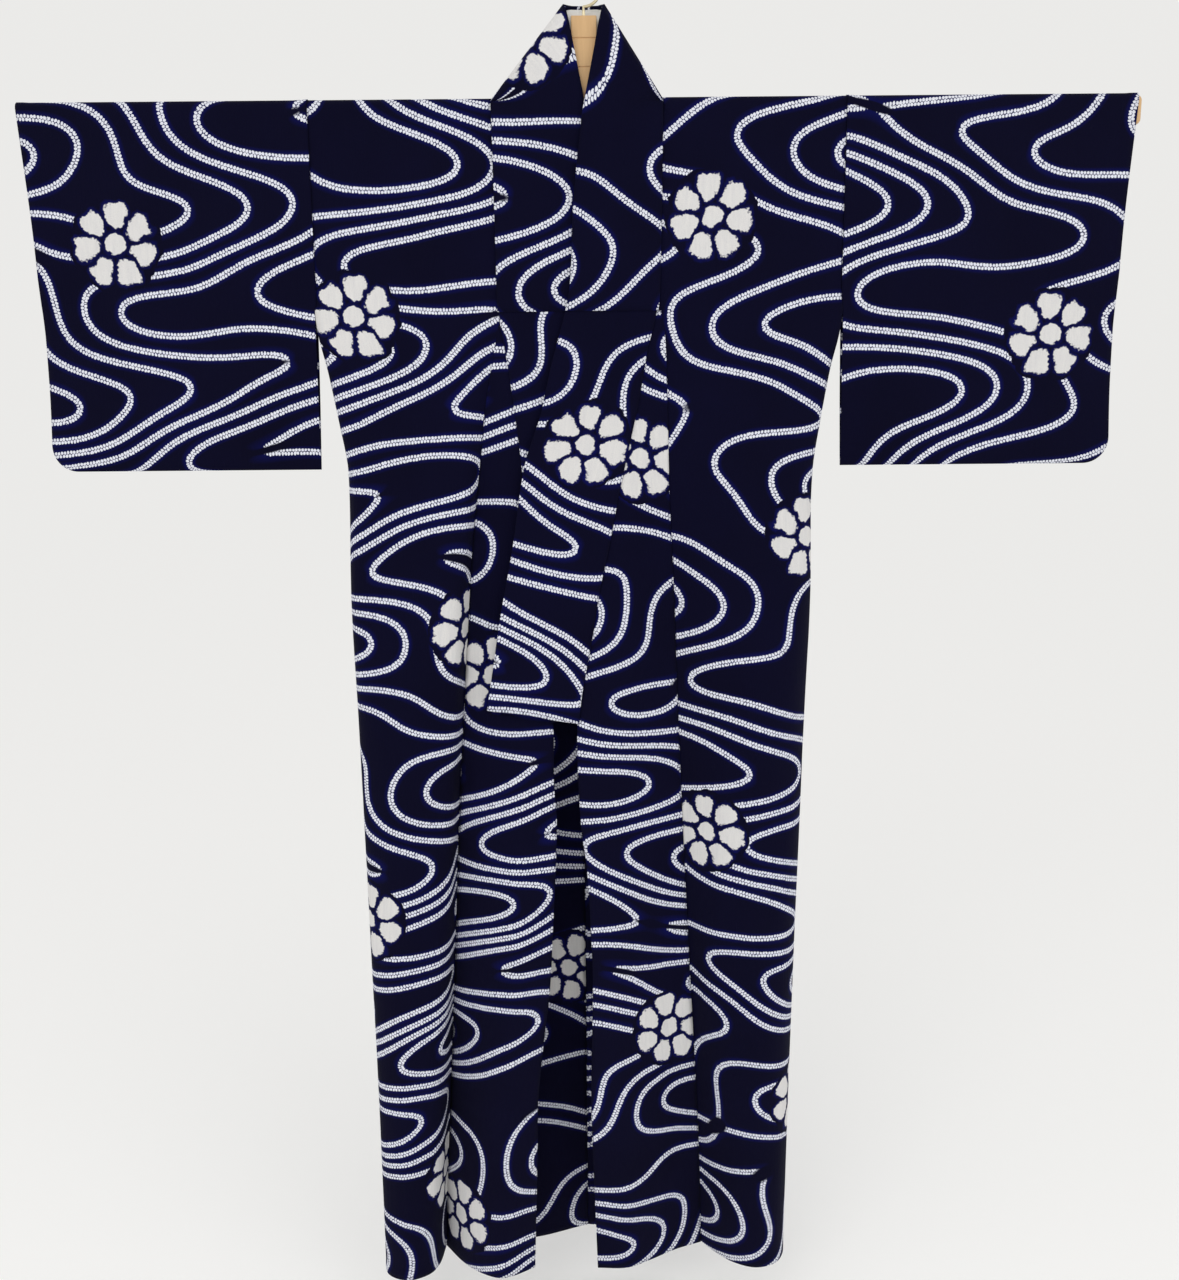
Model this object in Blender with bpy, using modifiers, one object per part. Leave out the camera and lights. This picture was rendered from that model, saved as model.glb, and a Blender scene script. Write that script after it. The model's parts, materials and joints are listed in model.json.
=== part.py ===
"""Cotton yukata hanging open on a wooden kimono hanger.

Metres, +Z up, the robe's front faces -Y and X runs to the viewer's right.
The origin is the point where a rail would carry the hook.
Tables are in millimetres. Their "drop" column is the distance below the shoulder line,
x is measured from the robe's centre back seam and y from the middle of the hanger's bar.
"""
import math

import bmesh
import bpy
from mathutils import Vector

MM = 0.001

# The robe as a tailor measures it
SLEEVE_END = 650.0
ARMHOLE = 315.0
NECK = 97.2
NECK_DROP = 15.0
HEM = 1505.0
SLEEVE_LENGTH = 424.0
SLEEVE_SEWN_TO_BODY = 240.0
CUFF_OPENING = 230.0
SLEEVE_CORNER = 32.0
COLLAR_END = 742.0
COLLAR_COVER_END = 240.0
OKUMI_TIP = {"right": 255.0, "left": 240.0}

# Cloth and seams
CLOTH = 1.6
COVER_CLOTH = 1.0
LINING_CLOTH = 0.8
SEAM_GAP = 0.5
LAYER_GAP = 0.3
SIDE_SEAM_STEP = (0.8, 1.8)
SIDE_SEAM_CLOSES = (240.0, 305.0)
FOLD_SEAM_ROOM = 0.7
COLLAR_OPENS = 15.0
LEFT_OVER_RIGHT = 2.6
COVER_FROM_SHARE = 0.01
LINING_STATIONS, LINING_SHARES, LINING_COLUMNS = 3, (0.35, 0.97), 3

# The hanger
BAR_TALL, BAR_THICK, BAR_ROUND = 32.0, 12.0, 5.5
BAR_FROM, BAR_TO = -644.0, 656.0
RISER_WIDE, RISER_THICK, RISER_TOP, RISER_ROUND = 29.5, 9.0, 88.0, 1.0
GROOVE_DROPS = (-64.0, -33.0, -3.0)
GROOVE_TALL, GROOVE_DEEP, GROOVE_ROUND, GROOVE_OVERHANG = 1.6, 1.0, 0.2, 2.0
WIRE = 3.5
HOOK_RADIUS, HOOK_STEM, HOOK_SWEEP, HOOK_STEPS = 19.0, 10.5, 250.0, 22
HANGER_X = 8.5
TURN_RADIUS = BAR_THICK / 2 + 0.6 + CLOTH / 2
BAR_TOP = -(CLOTH + 0.5)

SHOULDER_Z = -(RISER_TOP + HOOK_STEM + 2 * HOOK_RADIUS - WIRE / 2)

# Rows of the cloth grids, as drops below the shoulder line. Neighbouring pieces share them.
DROPS = (TURN_RADIUS, 60.0, 114.0, 165.0, 216.0, 240.0, 270.0, 305.0, 345.0, 400.0, 456.0, 515.0, 575.0,
         642.0, 700.0, COLLAR_END, 810.0, 890.0, 970.0, 1050.0, 1130.0, 1210.0, 1290.0, 1365.0, 1440.0, HEM)
TURN_STEPS = 8
# Shares of the half turn over the bar, from one gap to the other
BODY_GAP = 0.4
TURN_START = BODY_GAP / (math.pi * TURN_RADIUS)
QUARTER_TURN = (TURN_START, 0.03, 0.14, 0.26, 0.38)
SHOULDER_TURN = (*QUARTER_TURN, 0.5, *(1 - step for step in reversed(QUARTER_TURN)))
NECK_COLUMNS, FRONT_COLUMNS = 3, 8
OKUMI_COLUMNS, COLLAR_COLUMNS = 6, 4
SLEEVE_ROWS, SLEEVE_COLUMNS = 10, 8

# Seam of the front with the collar, and below the okumi's tip with the okumi: (drop, x, y)
FRONT_SEAM = {
    "right": ((7, -97.2, -7.4), (114, -95.8, -7.6), (200, -94.9, -7.8), (216, -94.8, -7.8), (240, -95.0, -8.0),
              (270, -99.5, -8.0),
              (345, -114, -7.5), (400, -120.5, -7), (515, -134.5, -5), (642, -145, -2), (742, -153, 0),
              (890, -164, 3), (1050, -173, 6), (1290, -188, 10), (1440, -197, 11.5), (1505, -199, 12)),
    "left": ((7, 97.2, -7.4), (114, 95.8, -7.8), (200, 94.1, -8.2), (216, 93.8, -8.2), (240, 98.0, -8.5),
             (270, 103, -8.6),
             (345, 106, -8.5), (456, 109, -7.5), (575, 115, -5.5), (742, 122, -1.5), (907, 130, 3),
             (1106, 141, 8), (1313, 153, 13), (1440, 158, 15), (1505, 159, 15.5)),
}
# Seam of the collar down to its end, then the okumi's free front edge: (drop, x, y)
OKUMI_EDGE = {
    "right": ((7, -97.2, -7.4), (114, -95.8, -7.6), (200, -94.9, -7.8), (216, -94.8, -7.8), (240, -94.2, -8.0),
              (305, -84, -9),
              (392, -73, -10.5), (456, -66.5, -11.5), (600, -50.5, -13.5), (742, -38, -15), (820, -38, -18),
              (875, -35, -20), (1020, -42, -24), (1100, -47, -26), (1180, -57, -28), (1260, -65, -29.5),
              (1330, -67, -30.5), (1505, -73, -32)),
    "left": ((7, 97.2, -7.4), (114, 95.8, -7.8), (200, 94.1, -8.2), (216, 93.8, -8.2), (240, 91.5, -9),
             (274, 82, -10.5),
             (345, 69, -12.5), (456, 44.5, -16), (526, 31, -18), (575, 20, -19.5), (642, 9, -21.5),
             (700, -2, -23), (742, -7, -24), (810, -7, -25), (887, -3, -26.5), (931, 3, -27.5),
             (1060, 9, -29), (1120, 9, -30), (1260, 6, -31.5), (1440, 11, -33), (1505, 13, -34)),
}
# Free edge of the collar: (drop, x, y)
COLLAR_EDGE = {
    "right": ((15, 9, -7.4), (60, 9.5, -7.5), (114, 11, -7.6), (216, 16, -7.9), (270, 22, -8.0),
              (345, 33, -8.2), (456, 46, -8.5), (600, 62, -8.5), (742, 75, -8.5)),
    "left": ((15, 7.5, -12.5), (114, -4, -12.8), (216, -10, -13.4), (275, -25, -14.4), (323, -38, -15.6),
             (354, -44, -16.6), (419, -66, -19), (526, -84, -22.5), (607, -100, -25), (657, -108, -26.5),
             (725, -119, -28)),
}
# How much higher the collar's free edge lies than the seam across from it: (drop of the seam, rise)
COLLAR_LEAN = ((7, -8), (60, 0), (240, 0), (345, 9), (456, 18), (742, 19))

# Outermost line of the body below the armhole, as seen from the front: (drop, x, y)
SIDE_EDGE = {
    "right": ((7, -288, -7.4), (240, -290, -7.8), (285, -296, -7.8), (345, -294, -7.5), (430, -283, -9),
              (580, -286, -10), (742, -284, -11), (910, -282, -12), (1200, -278, -13.5), (1505, -277, -15)),
    "left": ((7, 288, -7.4), (240, 290, -7.8), (285, 295, -7.8), (345, 293, -7.5), (430, 283, -8),
             (580, 284, -8), (742, 281, -6), (910, 278, -4), (1200, 274, 0), (1505, 271.5, 5)),
}
# Side seam, or the open edges above it: (drop, x, y of the front's edge, y of the back's edge)
SIDE_SEAM = {
    "right": ((7, -ARMHOLE, -7.4, 7.4), (225, -ARMHOLE, -7.4, 7.4), (240, -ARMHOLE, -7.4, 7.4),
              (270, -311.5, -6.6, 6.8), (305, -304, -3, 4.2),
              (345, -297.5, 1, 1), (430, -283, 3, 3), (580, -284, 6, 6), (742, -281, 10, 10), (910, -277, 14, 14),
              (1200, -269, 21, 21), (1505, -263, 27, 27)),
    "left": ((7, ARMHOLE, -7.4, 7.4), (225, ARMHOLE, -7.4, 7.4), (240, ARMHOLE, -7.4, 7.4),
             (270, 311, -6.6, 6.8), (305, 303, -3, 4.2),
             (345, 296.5, 1, 1), (430, 282.5, 3, 3), (580, 282, 6, 6), (742, 278, 11, 11), (910, 273, 16, 16),
             (1200, 266, 24, 24), (1505, 259, 31, 31)),
}
# Fold of the front between its two edges, at the hem: (share of the way to the side, forward)
FRONT_FOLD = {
    "right": ((0.06, 34), (0.20, 50), (0.56, 52), (0.92, 30)),
    "left": ((0.14, 18), (0.35, 37), (0.62, 45), (0.88, 32)),
}
OKUMI_FOLD = {
    "right": ((0.22, 24), (0.45, 36), (0.68, 34)),
    "left": ((0.25, 2), (0.50, 10), (0.72, 14)),
}
# Share of that fold which is left higher up: (drop, share)
FRONT_FULLNESS = ((7, 0.0), (240, 0.03), (345, 0.16), (456, 0.42), (642, 0.62), (970, 0.80), (1290, 0.93),
                  (1505, 1.0))
OKUMI_FULLNESS = ((7, 0.0), (255, 0.0), (515, 0.10), (742, 0.26), (890, 0.48), (1050, 0.68), (1290, 0.87),
                  (1505, 1.0))
# Lines down the back, from the centre seam outwards: (drop, x, y)
BACK_LINES = {
    "right": (((7, 0, 7.4), (300, 0, 9), (700, 0, 20), (1100, 0, 36), (1505, 0, 54)),
              ((7, -104, 7.4), (300, -100, 9.5), (700, -92, 15), (1100, -90, 20), (1505, -90, 26)),
              ((7, -208, 7.4), (300, -198, 9), (700, -184, 20), (1100, -178, 31), (1505, -176, 42))),
    "left": (((7, 0, 7.4), (300, 0, 9), (700, 0, 20), (1100, 0, 36), (1505, 0, 54)),
             ((7, 104, 7.4), (300, 101, 10), (700, 95, 20), (1100, 94, 33), (1505, 92, 47)),
             ((7, 208, 7.4), (300, 199, 9), (700, 186, 15), (1100, 182, 22), (1505, 180, 30))),
}
# Half the depth between the sleeve's two layers: (drop, depth)
SLEEVE_DEPTH = ((7, 7.4), (120, 7.6), (240, 7.2), (340, 5.2), (400, 2.4), (424, 1.0))
SEWN_DEPTH = CLOTH / 2 + LAYER_GAP / 2
CUFF_CLOSE_WIDTH, CUFF_CLOSE_TALL = 90.0, 60.0
SLEEVE_ROW_CROWDING = 0.9
# The two edges of the sleeve: (drop, x)
SLEEVE_INNER = ((7, ARMHOLE), (240, ARMHOLE), (424, 318.0))
SLEEVE_OUTER = ((7, SLEEVE_END), (160, 642.0), (320, 642.0), (424, 647.0))
# Collar above the shoulder, from the front over its slanting fold to the centre back:
# (seam x, drop, y, free edge x measured from the hanger's middle, drop, y)
NECK_STATIONS = (
    (96.6, 6.0, -7.4, 10.0, -38, -8.6), (96.2, 4.4, -7.2, 20.0, -88, -8.4), (95.8, 1.4, -5.2, 22.0, -95, -6.0),
    (95.4, -0.4, 0.0, 22.5, -98, 0.0), (95.4, 1.4, 5.2, 21.0, -100, 6.0), (94.4, 6.2, 7.4, 18.5, -101, 9.0),
    (64.0, 9.2, 7.8, 12.0, -101.5, 10.5), (32.0, 11.6, 8.2, 6.0, -101.5, 11.2),
)
NECK_CENTRE = (0.0, NECK_DROP - 0.5, 8.4, 0.0, -101.5, 11.5)


def smooth(rows, at, column=1):
    """Read a column of a table at a place between its rows, along a smooth curve."""
    if at <= rows[0][0]:
        return rows[0][column]
    if at >= rows[-1][0]:
        return rows[-1][column]
    i = next(k for k in range(len(rows) - 1) if rows[k + 1][0] >= at)

    def slope(k):
        low, high = max(k - 1, 0), min(k + 1, len(rows) - 1)
        return (rows[high][column] - rows[low][column]) / (rows[high][0] - rows[low][0])

    step = rows[i + 1][0] - rows[i][0]
    s = (at - rows[i][0]) / step
    start, end = rows[i][column], rows[i + 1][column]
    return ((2 * s ** 3 - 3 * s ** 2 + 1) * start + (s ** 3 - 2 * s ** 2 + s) * step * slope(i)
            + (3 * s ** 2 - 2 * s ** 3) * end + (s ** 3 - s ** 2) * step * slope(i + 1))


def line_point(rows, drop):
    """Point of a line at a drop, as (x, y, z) in the robe's frame, still in millimetres."""
    return Vector((smooth(rows, drop, 1), smooth(rows, drop, 2), -drop))


def along(points, share):
    """Point at a share of the length of a smooth curve through the given points."""
    lengths = [0.0]
    for a, b in zip(points, points[1:]):
        lengths.append(lengths[-1] + (b - a).length)
    rows = [(length, *point) for length, point in zip(lengths, points)]
    return Vector([smooth(rows, share * lengths[-1], column) for column in (1, 2, 3)])


def folded(start, end, fold, fullness):
    """Points of a fold that bulges forward between two edges."""
    inside = [start.lerp(end, share) + Vector((0, -forward * fullness, 0)) for share, forward in fold]
    return [start, *inside, end]


def front_point(side, share, drop):
    """Front of the body: share 0 is its inner seam and 1 the side seam."""
    out = -1 if side == "right" else 1
    inner = line_point(FRONT_SEAM[side], drop) + Vector((out * SEAM_GAP / 2, 0, 0))
    inner.x += out * FOLD_SEAM_ROOM * smooth(FRONT_FULLNESS, drop)
    edge = line_point(SIDE_EDGE[side], drop)
    seam = line_point(SIDE_SEAM[side], drop)
    if drop <= SLEEVE_SEWN_TO_BODY:
        seam.x -= out * SEAM_GAP / 2
    curve = folded(inner, edge, FRONT_FOLD[side], smooth(FRONT_FULLNESS, drop))
    return along([*curve, seam], share)


def back_point(side, share, drop):
    """Back of the body: share 0 is the centre seam and 1 the side seam."""
    out = -1 if side == "right" else 1
    points = [line_point(rows, drop) for rows in BACK_LINES[side]]
    points[0].x += out * SEAM_GAP / 2
    seam = Vector((smooth(SIDE_SEAM[side], drop, 1), smooth(SIDE_SEAM[side], drop, 3), -drop))
    if drop <= SLEEVE_SEWN_TO_BODY:
        seam.x -= out * SEAM_GAP / 2
    open_to, closed_from = SIDE_SEAM_CLOSES
    closed = min(max((drop - open_to) / (closed_from - open_to), 0), 1)
    seam += closed * Vector((out * SIDE_SEAM_STEP[0], SIDE_SEAM_STEP[1], 0))
    return along([*points, seam], share)


def over_bar(point, step):
    """Carry a point on the front's top row over the bar, by a share of the half turn."""
    angle = math.pi * step
    return Vector((point.x, -TURN_RADIUS * math.cos(angle), TURN_RADIUS * (math.sin(angle) - 1)))


def back_grid_point(side, column, drop):
    """Grid of the back: its top row follows the neckline, then the rear of the shoulder."""
    neck_share = NECK / ARMHOLE
    front_share = max(column - NECK_COLUMNS, 0) / FRONT_COLUMNS
    share = neck_share * min(column / NECK_COLUMNS, 1) + (1 - neck_share) * front_share
    point = back_point(side, share, drop)
    if drop == DROPS[0]:
        if column >= NECK_COLUMNS:
            point.x = front_point(side, front_share, drop).x
        point.z = -NECK_DROP + (NECK_DROP - TURN_RADIUS) * min(column / NECK_COLUMNS, 1)
    return point


def okumi_point(side, column, row, drops):
    """Okumi, the narrow overlap panel: column 0 is its seam with the front."""
    out = -1 if side == "right" else 1
    drop = drops[row]
    seam = line_point(FRONT_SEAM[side], drop) - Vector((out * SEAM_GAP / 2, 0, 0))
    seam.x -= out * FOLD_SEAM_ROOM * smooth(OKUMI_FULLNESS, drop)
    edge = line_point(OKUMI_EDGE[side], drop)
    if drop <= COLLAR_END:
        edge.x += out * SEAM_GAP / 2
    curve = folded(seam, edge, OKUMI_FOLD[side], smooth(OKUMI_FULLNESS, drop))
    return along(curve, column / OKUMI_COLUMNS)


def collar_stations():
    """Seam point and free-edge point of the collar, from its right end over the neck to its left end."""
    def front(side):
        drops = [drop for drop in DROPS if drop <= COLLAR_END]
        out = -1 if side == "right" else 1
        for drop in drops:
            seam = line_point(OKUMI_EDGE[side], drop) - Vector((out * SEAM_GAP / 2, 0, 0))
            yield seam, line_point(COLLAR_EDGE[side], max(drop - smooth(COLLAR_LEAN, drop), COLLAR_OPENS))

    def neck(out):
        for number, (x, drop, y, free_x, free_drop, free_y) in enumerate(NECK_STATIONS):
            if out > 0 and number == 0:
                free_y -= LEFT_OVER_RIGHT
            seam = Vector((out * (x - SEAM_GAP / 2), y, -drop))
            yield seam, Vector((HANGER_X + out * free_x, free_y, -free_drop))

    x, drop, y, free_x, free_drop, free_y = NECK_CENTRE
    centre = (Vector((x, y, -drop)), Vector((HANGER_X + free_x, free_y, -free_drop)))
    right, left = list(front("right")), list(front("left"))
    return [*reversed(right), *neck(-1), centre, *reversed(list(neck(1))), *left]


def cut_short(station, neighbour):
    """Move a station towards its neighbour by the gap between two layers."""
    step = LAYER_GAP / (neighbour[1] - station[1]).length
    return station[0].lerp(neighbour[0], step), station[1].lerp(neighbour[1], step)


def banded(first, last, start, end, columns, offset, short=()):
    """Points of a strip of the collar between two stations, moved outwards by an offset."""
    stations = collar_stations()
    rows = []
    for k in range(first, last + 1):
        before, after = stations[max(k - 1, 0)], stations[min(k + 1, len(stations) - 1)]
        seam, free = stations[k]
        if k in short:
            seam, free = cut_short(stations[k], stations[k - 1] if k == last else stations[k + 1])
        row = []
        for column in range(columns + 1):
            share = start + (end - start) * column / columns
            forward = after[0].lerp(after[1], share) - before[0].lerp(before[1], share)
            normal = (free - seam).cross(forward).normalized()
            row.append(seam.lerp(free, share) + normal * offset)
        rows.append(row)
    return rows


def sleeve_point(side, column, row):
    """Sleeve: rows run from the bottom of its front over the bar to the bottom of its back."""
    out = -1 if side == "right" else 1
    front_last, back_first = SLEEVE_ROWS, SLEEVE_ROWS + TURN_STEPS
    if row <= front_last:
        share, layer = 1 - row / SLEEVE_ROWS, -1
    elif row >= back_first:
        share, layer = (row - back_first) / SLEEVE_ROWS, 1
    else:
        share, layer = 0.0, 0
    drop = TURN_RADIUS + (SLEEVE_LENGTH - TURN_RADIUS) * math.sin(share * math.pi / 2) ** SLEEVE_ROW_CROWDING
    corner = max(drop - (SLEEVE_LENGTH - SLEEVE_CORNER), 0) / SLEEVE_CORNER
    outer = smooth(SLEEVE_OUTER, drop) - SLEEVE_CORNER * (1 - math.sqrt(max(1 - corner ** 2, 0)))
    inner = smooth(SLEEVE_INNER, drop) + SEAM_GAP / 2
    x = inner + (outer - inner) * column / SLEEVE_COLUMNS
    if layer == 0:
        return over_bar(Vector((out * x, 0, 0)), (row - front_last) / TURN_STEPS)
    to_cuff = min(max((x - (outer - CUFF_CLOSE_WIDTH)) / CUFF_CLOSE_WIDTH, 0), 1)
    below_opening = min(max((drop - CUFF_OPENING) / CUFF_CLOSE_TALL + 0.5, 0), 1)
    depth = smooth(SLEEVE_DEPTH, drop)
    depth = SEWN_DEPTH + (depth - SEWN_DEPTH) * (1 - to_cuff ** 2 * below_opening)
    return Vector((out * x, layer * depth, -drop))


def material(name, colour, roughness, metallic=0.0):
    """Principled material in one colour."""
    made = bpy.data.materials.new(name)
    made.use_nodes = True
    shader = made.node_tree.nodes["Principled BSDF"]
    shader.inputs["Base Color"].default_value = (*colour, 1.0)
    shader.inputs["Roughness"].default_value = roughness
    shader.inputs["Metallic"].default_value = metallic
    made.diffuse_color = (*colour, 1.0)
    return made


def add_to_part(made, collection, parent, surface):
    """Put an object in the part's collection, under its empty and with its material."""
    for old in list(made.users_collection):
        old.objects.unlink(made)
    collection.objects.link(made)
    made.parent = parent
    made.data.materials.clear()
    made.data.materials.append(surface)
    return made


def cloth_sheet(name, columns, rows, place, thickness=CLOTH):
    """A grid moved onto the cloth's surface, then thickened about it."""
    bpy.ops.mesh.primitive_grid_add(x_subdivisions=columns, y_subdivisions=rows, size=2)
    sheet = bpy.context.object
    sheet.name = sheet.data.name = name
    mesh = bmesh.new()
    mesh.from_mesh(sheet.data)
    cells = {}
    for vertex in mesh.verts:
        column = round((vertex.co.x + 1) / 2 * columns)
        row = round((vertex.co.y + 1) / 2 * rows)
        cells[vertex] = (column, row)
    for vertex in mesh.verts:
        vertex.co = place(*cells[vertex]) * MM
    bmesh.ops.recalc_face_normals(mesh, faces=mesh.faces)
    mesh.to_mesh(sheet.data)
    mesh.free()
    sheet.data.shade_smooth()
    wall = sheet.modifiers.new("cloth", "SOLIDIFY")
    wall.thickness = thickness * MM
    wall.offset = 0.0
    return sheet


def rows_sheet(name, rows, thickness):
    """A cloth sheet whose grid points are already known."""
    return cloth_sheet(name, len(rows[0]) - 1, len(rows) - 1, lambda column, row: rows[row][column], thickness)


def body_levels():
    """Rows of the body's three levels, which part by a gap at the armhole's foot and the collar's end."""
    foot, end = DROPS.index(SLEEVE_SEWN_TO_BODY), DROPS.index(COLLAR_END)
    return (("upper", (*DROPS[:foot], SLEEVE_SEWN_TO_BODY - BODY_GAP)),
            ("middle", (*DROPS[foot:end], COLLAR_END - BODY_GAP)),
            ("lower", DROPS[end:]))


def body_panel(side):
    """Half the body: the turn over the bar, then front and back on three levels."""
    yield cloth_sheet(f"body_{side}_shoulder", FRONT_COLUMNS, len(SHOULDER_TURN) - 1,
                      lambda c, r: over_bar(front_point(side, c / FRONT_COLUMNS, DROPS[0]), SHOULDER_TURN[r]))
    for level, drops in body_levels():
        yield cloth_sheet(f"body_{side}_front_{level}", FRONT_COLUMNS, len(drops) - 1,
                          lambda c, r: front_point(side, c / FRONT_COLUMNS, drops[r]))
        yield cloth_sheet(f"body_{side}_back_{level}", NECK_COLUMNS + FRONT_COLUMNS, len(drops) - 1,
                          lambda c, r: back_grid_point(side, c, drops[r]))


def okumi(side):
    drops = [OKUMI_TIP[side], *(drop for drop in DROPS if drop > OKUMI_TIP[side])]
    return cloth_sheet(f"okumi_{side}", OKUMI_COLUMNS, len(drops) - 1,
                       lambda c, r: okumi_point(side, c, r, drops))


def sleeve(side):
    rows = 2 * SLEEVE_ROWS + TURN_STEPS
    return cloth_sheet(f"sleeve_{side}", SLEEVE_COLUMNS, rows, lambda c, r: sleeve_point(side, c, r))


def collar_stretches():
    """The collar's solid in three stretches: right band, round the neck, and left band."""
    last = len(collar_stations()) - 1
    shoulder = len([drop for drop in DROPS if drop <= COLLAR_END]) - 1
    stretches = (("right", 0, shoulder), ("neck", shoulder, last - shoulder), ("left", last - shoulder, last))
    for name, first, end in stretches:
        short = () if name == "neck" else (shoulder, last - shoulder)
        rows = banded(first, end, 0, 1, COLLAR_COLUMNS, 0, short)
        yield rows_sheet(f"collar_{name}", rows, CLOTH)


def collar_cover():
    """Second layer of cloth over the neck part of the collar."""
    drops = [drop for drop in DROPS if drop <= COLLAR_END]
    skipped = len([drop for drop in drops if drop > COLLAR_COVER_END])
    last = len(collar_stations()) - 1 - skipped
    offset = CLOTH / 2 + LAYER_GAP + COVER_CLOTH / 2
    rows = banded(skipped, last, COVER_FROM_SHARE, 1, COLLAR_COLUMNS, offset)
    return rows_sheet("collar_cover", rows, COVER_CLOTH)


def neck_lining():
    """White strip inside the back of the neck."""
    middle = len(collar_stations()) // 2
    offset = -(CLOTH / 2 + LAYER_GAP + LINING_CLOTH / 2)
    first, last = middle - LINING_STATIONS, middle + LINING_STATIONS
    return rows_sheet("neck_lining", banded(first, last, *LINING_SHARES, LINING_COLUMNS, offset), LINING_CLOTH)


def board(name, wide, deep, tall, x, z, rounding, segments=3):
    """A wooden board with rounded edges, given in millimetres by its centre."""
    bpy.ops.mesh.primitive_cube_add(size=1, location=(x * MM, 0, z * MM))
    made = bpy.context.object
    made.name = made.data.name = name
    for vertex in made.data.vertices:
        vertex.co = Vector((vertex.co.x * wide, vertex.co.y * deep, vertex.co.z * tall)) * MM
    edges = made.modifiers.new("rounded edges", "BEVEL")
    edges.width = rounding * MM
    edges.segments = segments
    return made


def hanger_bar():
    """Straight bar through both sleeves, round along its top and bottom."""
    middle, height = (BAR_FROM + BAR_TO) / 2, BAR_TOP - BAR_TALL / 2
    return board("hanger_bar", BAR_TO - BAR_FROM, BAR_THICK, BAR_TALL, middle, height, BAR_ROUND, 4)


def hanger_riser(cutters):
    """Upright board on the bar, with three shallow grooves across its front."""
    tall = RISER_TOP - BAR_TOP - LAYER_GAP
    riser = board("hanger_riser", RISER_WIDE, RISER_THICK, tall, HANGER_X, RISER_TOP - tall / 2, RISER_ROUND, 2)
    for number, drop in enumerate(GROOVE_DROPS):
        cutter = board(f"groove_cutter_{number}", RISER_WIDE + 2 * GROOVE_OVERHANG, 2 * GROOVE_DEEP, GROOVE_TALL,
                       HANGER_X, -drop, GROOVE_ROUND, 1)
        cutter.location.y = -RISER_THICK / 2 * MM
        cutter.hide_render = True
        cutter.display_type = "WIRE"
        cutters.append(cutter)
        cut = riser.modifiers.new(f"groove {number}", "BOOLEAN")
        cut.object = cutter
        cut.operation = "DIFFERENCE"
    return riser


def hanger_hook():
    """Wire hook: a short stem, then most of a turn to the viewer's right and over."""
    points = [(0.0, RISER_TOP + LAYER_GAP), (0.0, RISER_TOP + HOOK_STEM / 2)]
    centre = RISER_TOP + HOOK_STEM + HOOK_RADIUS
    for step in range(HOOK_STEPS + 1):
        angle = math.radians(HOOK_SWEEP * step / HOOK_STEPS)
        points.append((HOOK_RADIUS * math.sin(angle), centre - HOOK_RADIUS * math.cos(angle)))
    data = bpy.data.curves.new("hanger_hook", "CURVE")
    data.dimensions = "3D"
    data.bevel_depth = WIRE / 2 * MM
    data.bevel_resolution = 2
    data.use_fill_caps = True
    data.render_resolution_u = 0
    wire = data.splines.new("POLY")
    wire.points.add(len(points) - 1)
    for point, (x, z) in zip(wire.points, points):
        point.co = ((HANGER_X + x) * MM, 0, z * MM, 1)
    hook = bpy.data.objects.new("hanger_hook", data)
    bpy.context.scene.collection.objects.link(hook)
    return hook


def main():
    for old in list(bpy.data.objects):
        bpy.data.objects.remove(old)
    part = bpy.data.collections.new("yukata_on_hanger")
    cutter_set = bpy.data.collections.new("cutters")
    bpy.context.scene.collection.children.link(part)
    bpy.context.scene.collection.children.link(cutter_set)
    robe = bpy.data.objects.new("robe_frame", None)
    robe.location = (-HANGER_X * MM, 0, SHOULDER_Z * MM)
    part.objects.link(robe)

    cotton = material("navy_cotton", (0.012, 0.014, 0.045), 0.85)
    white = material("white_cotton", (0.78, 0.78, 0.76), 0.85)
    wood = material("hanger_wood", (0.62, 0.42, 0.25), 0.5)
    brass = material("hook_metal", (0.72, 0.63, 0.42), 0.3, 1.0)

    for side in ("right", "left"):
        for sheet in (*body_panel(side), sleeve(side), okumi(side)):
            add_to_part(sheet, part, robe, cotton)
    for stretch in collar_stretches():
        add_to_part(stretch, part, robe, cotton)
    add_to_part(collar_cover(), part, robe, cotton)
    add_to_part(neck_lining(), part, robe, white)
    cutters = []
    add_to_part(hanger_bar(), part, robe, wood)
    add_to_part(hanger_riser(cutters), part, robe, wood)
    add_to_part(hanger_hook(), part, robe, brass)
    for cutter in cutters:
        add_to_part(cutter, cutter_set, robe, wood)


main()
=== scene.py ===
"""Looks of the cotton yukata on its wooden hanger.

The cloth pieces follow the surfaces of their solids on a finer grid, with creases and folded edges.
Tables are in millimetres in the robe's own frame: drop is the distance below the shoulder line,
x is measured from the centre back seam and y from the middle of the hanger's bar.
"""
import json
import math

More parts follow.
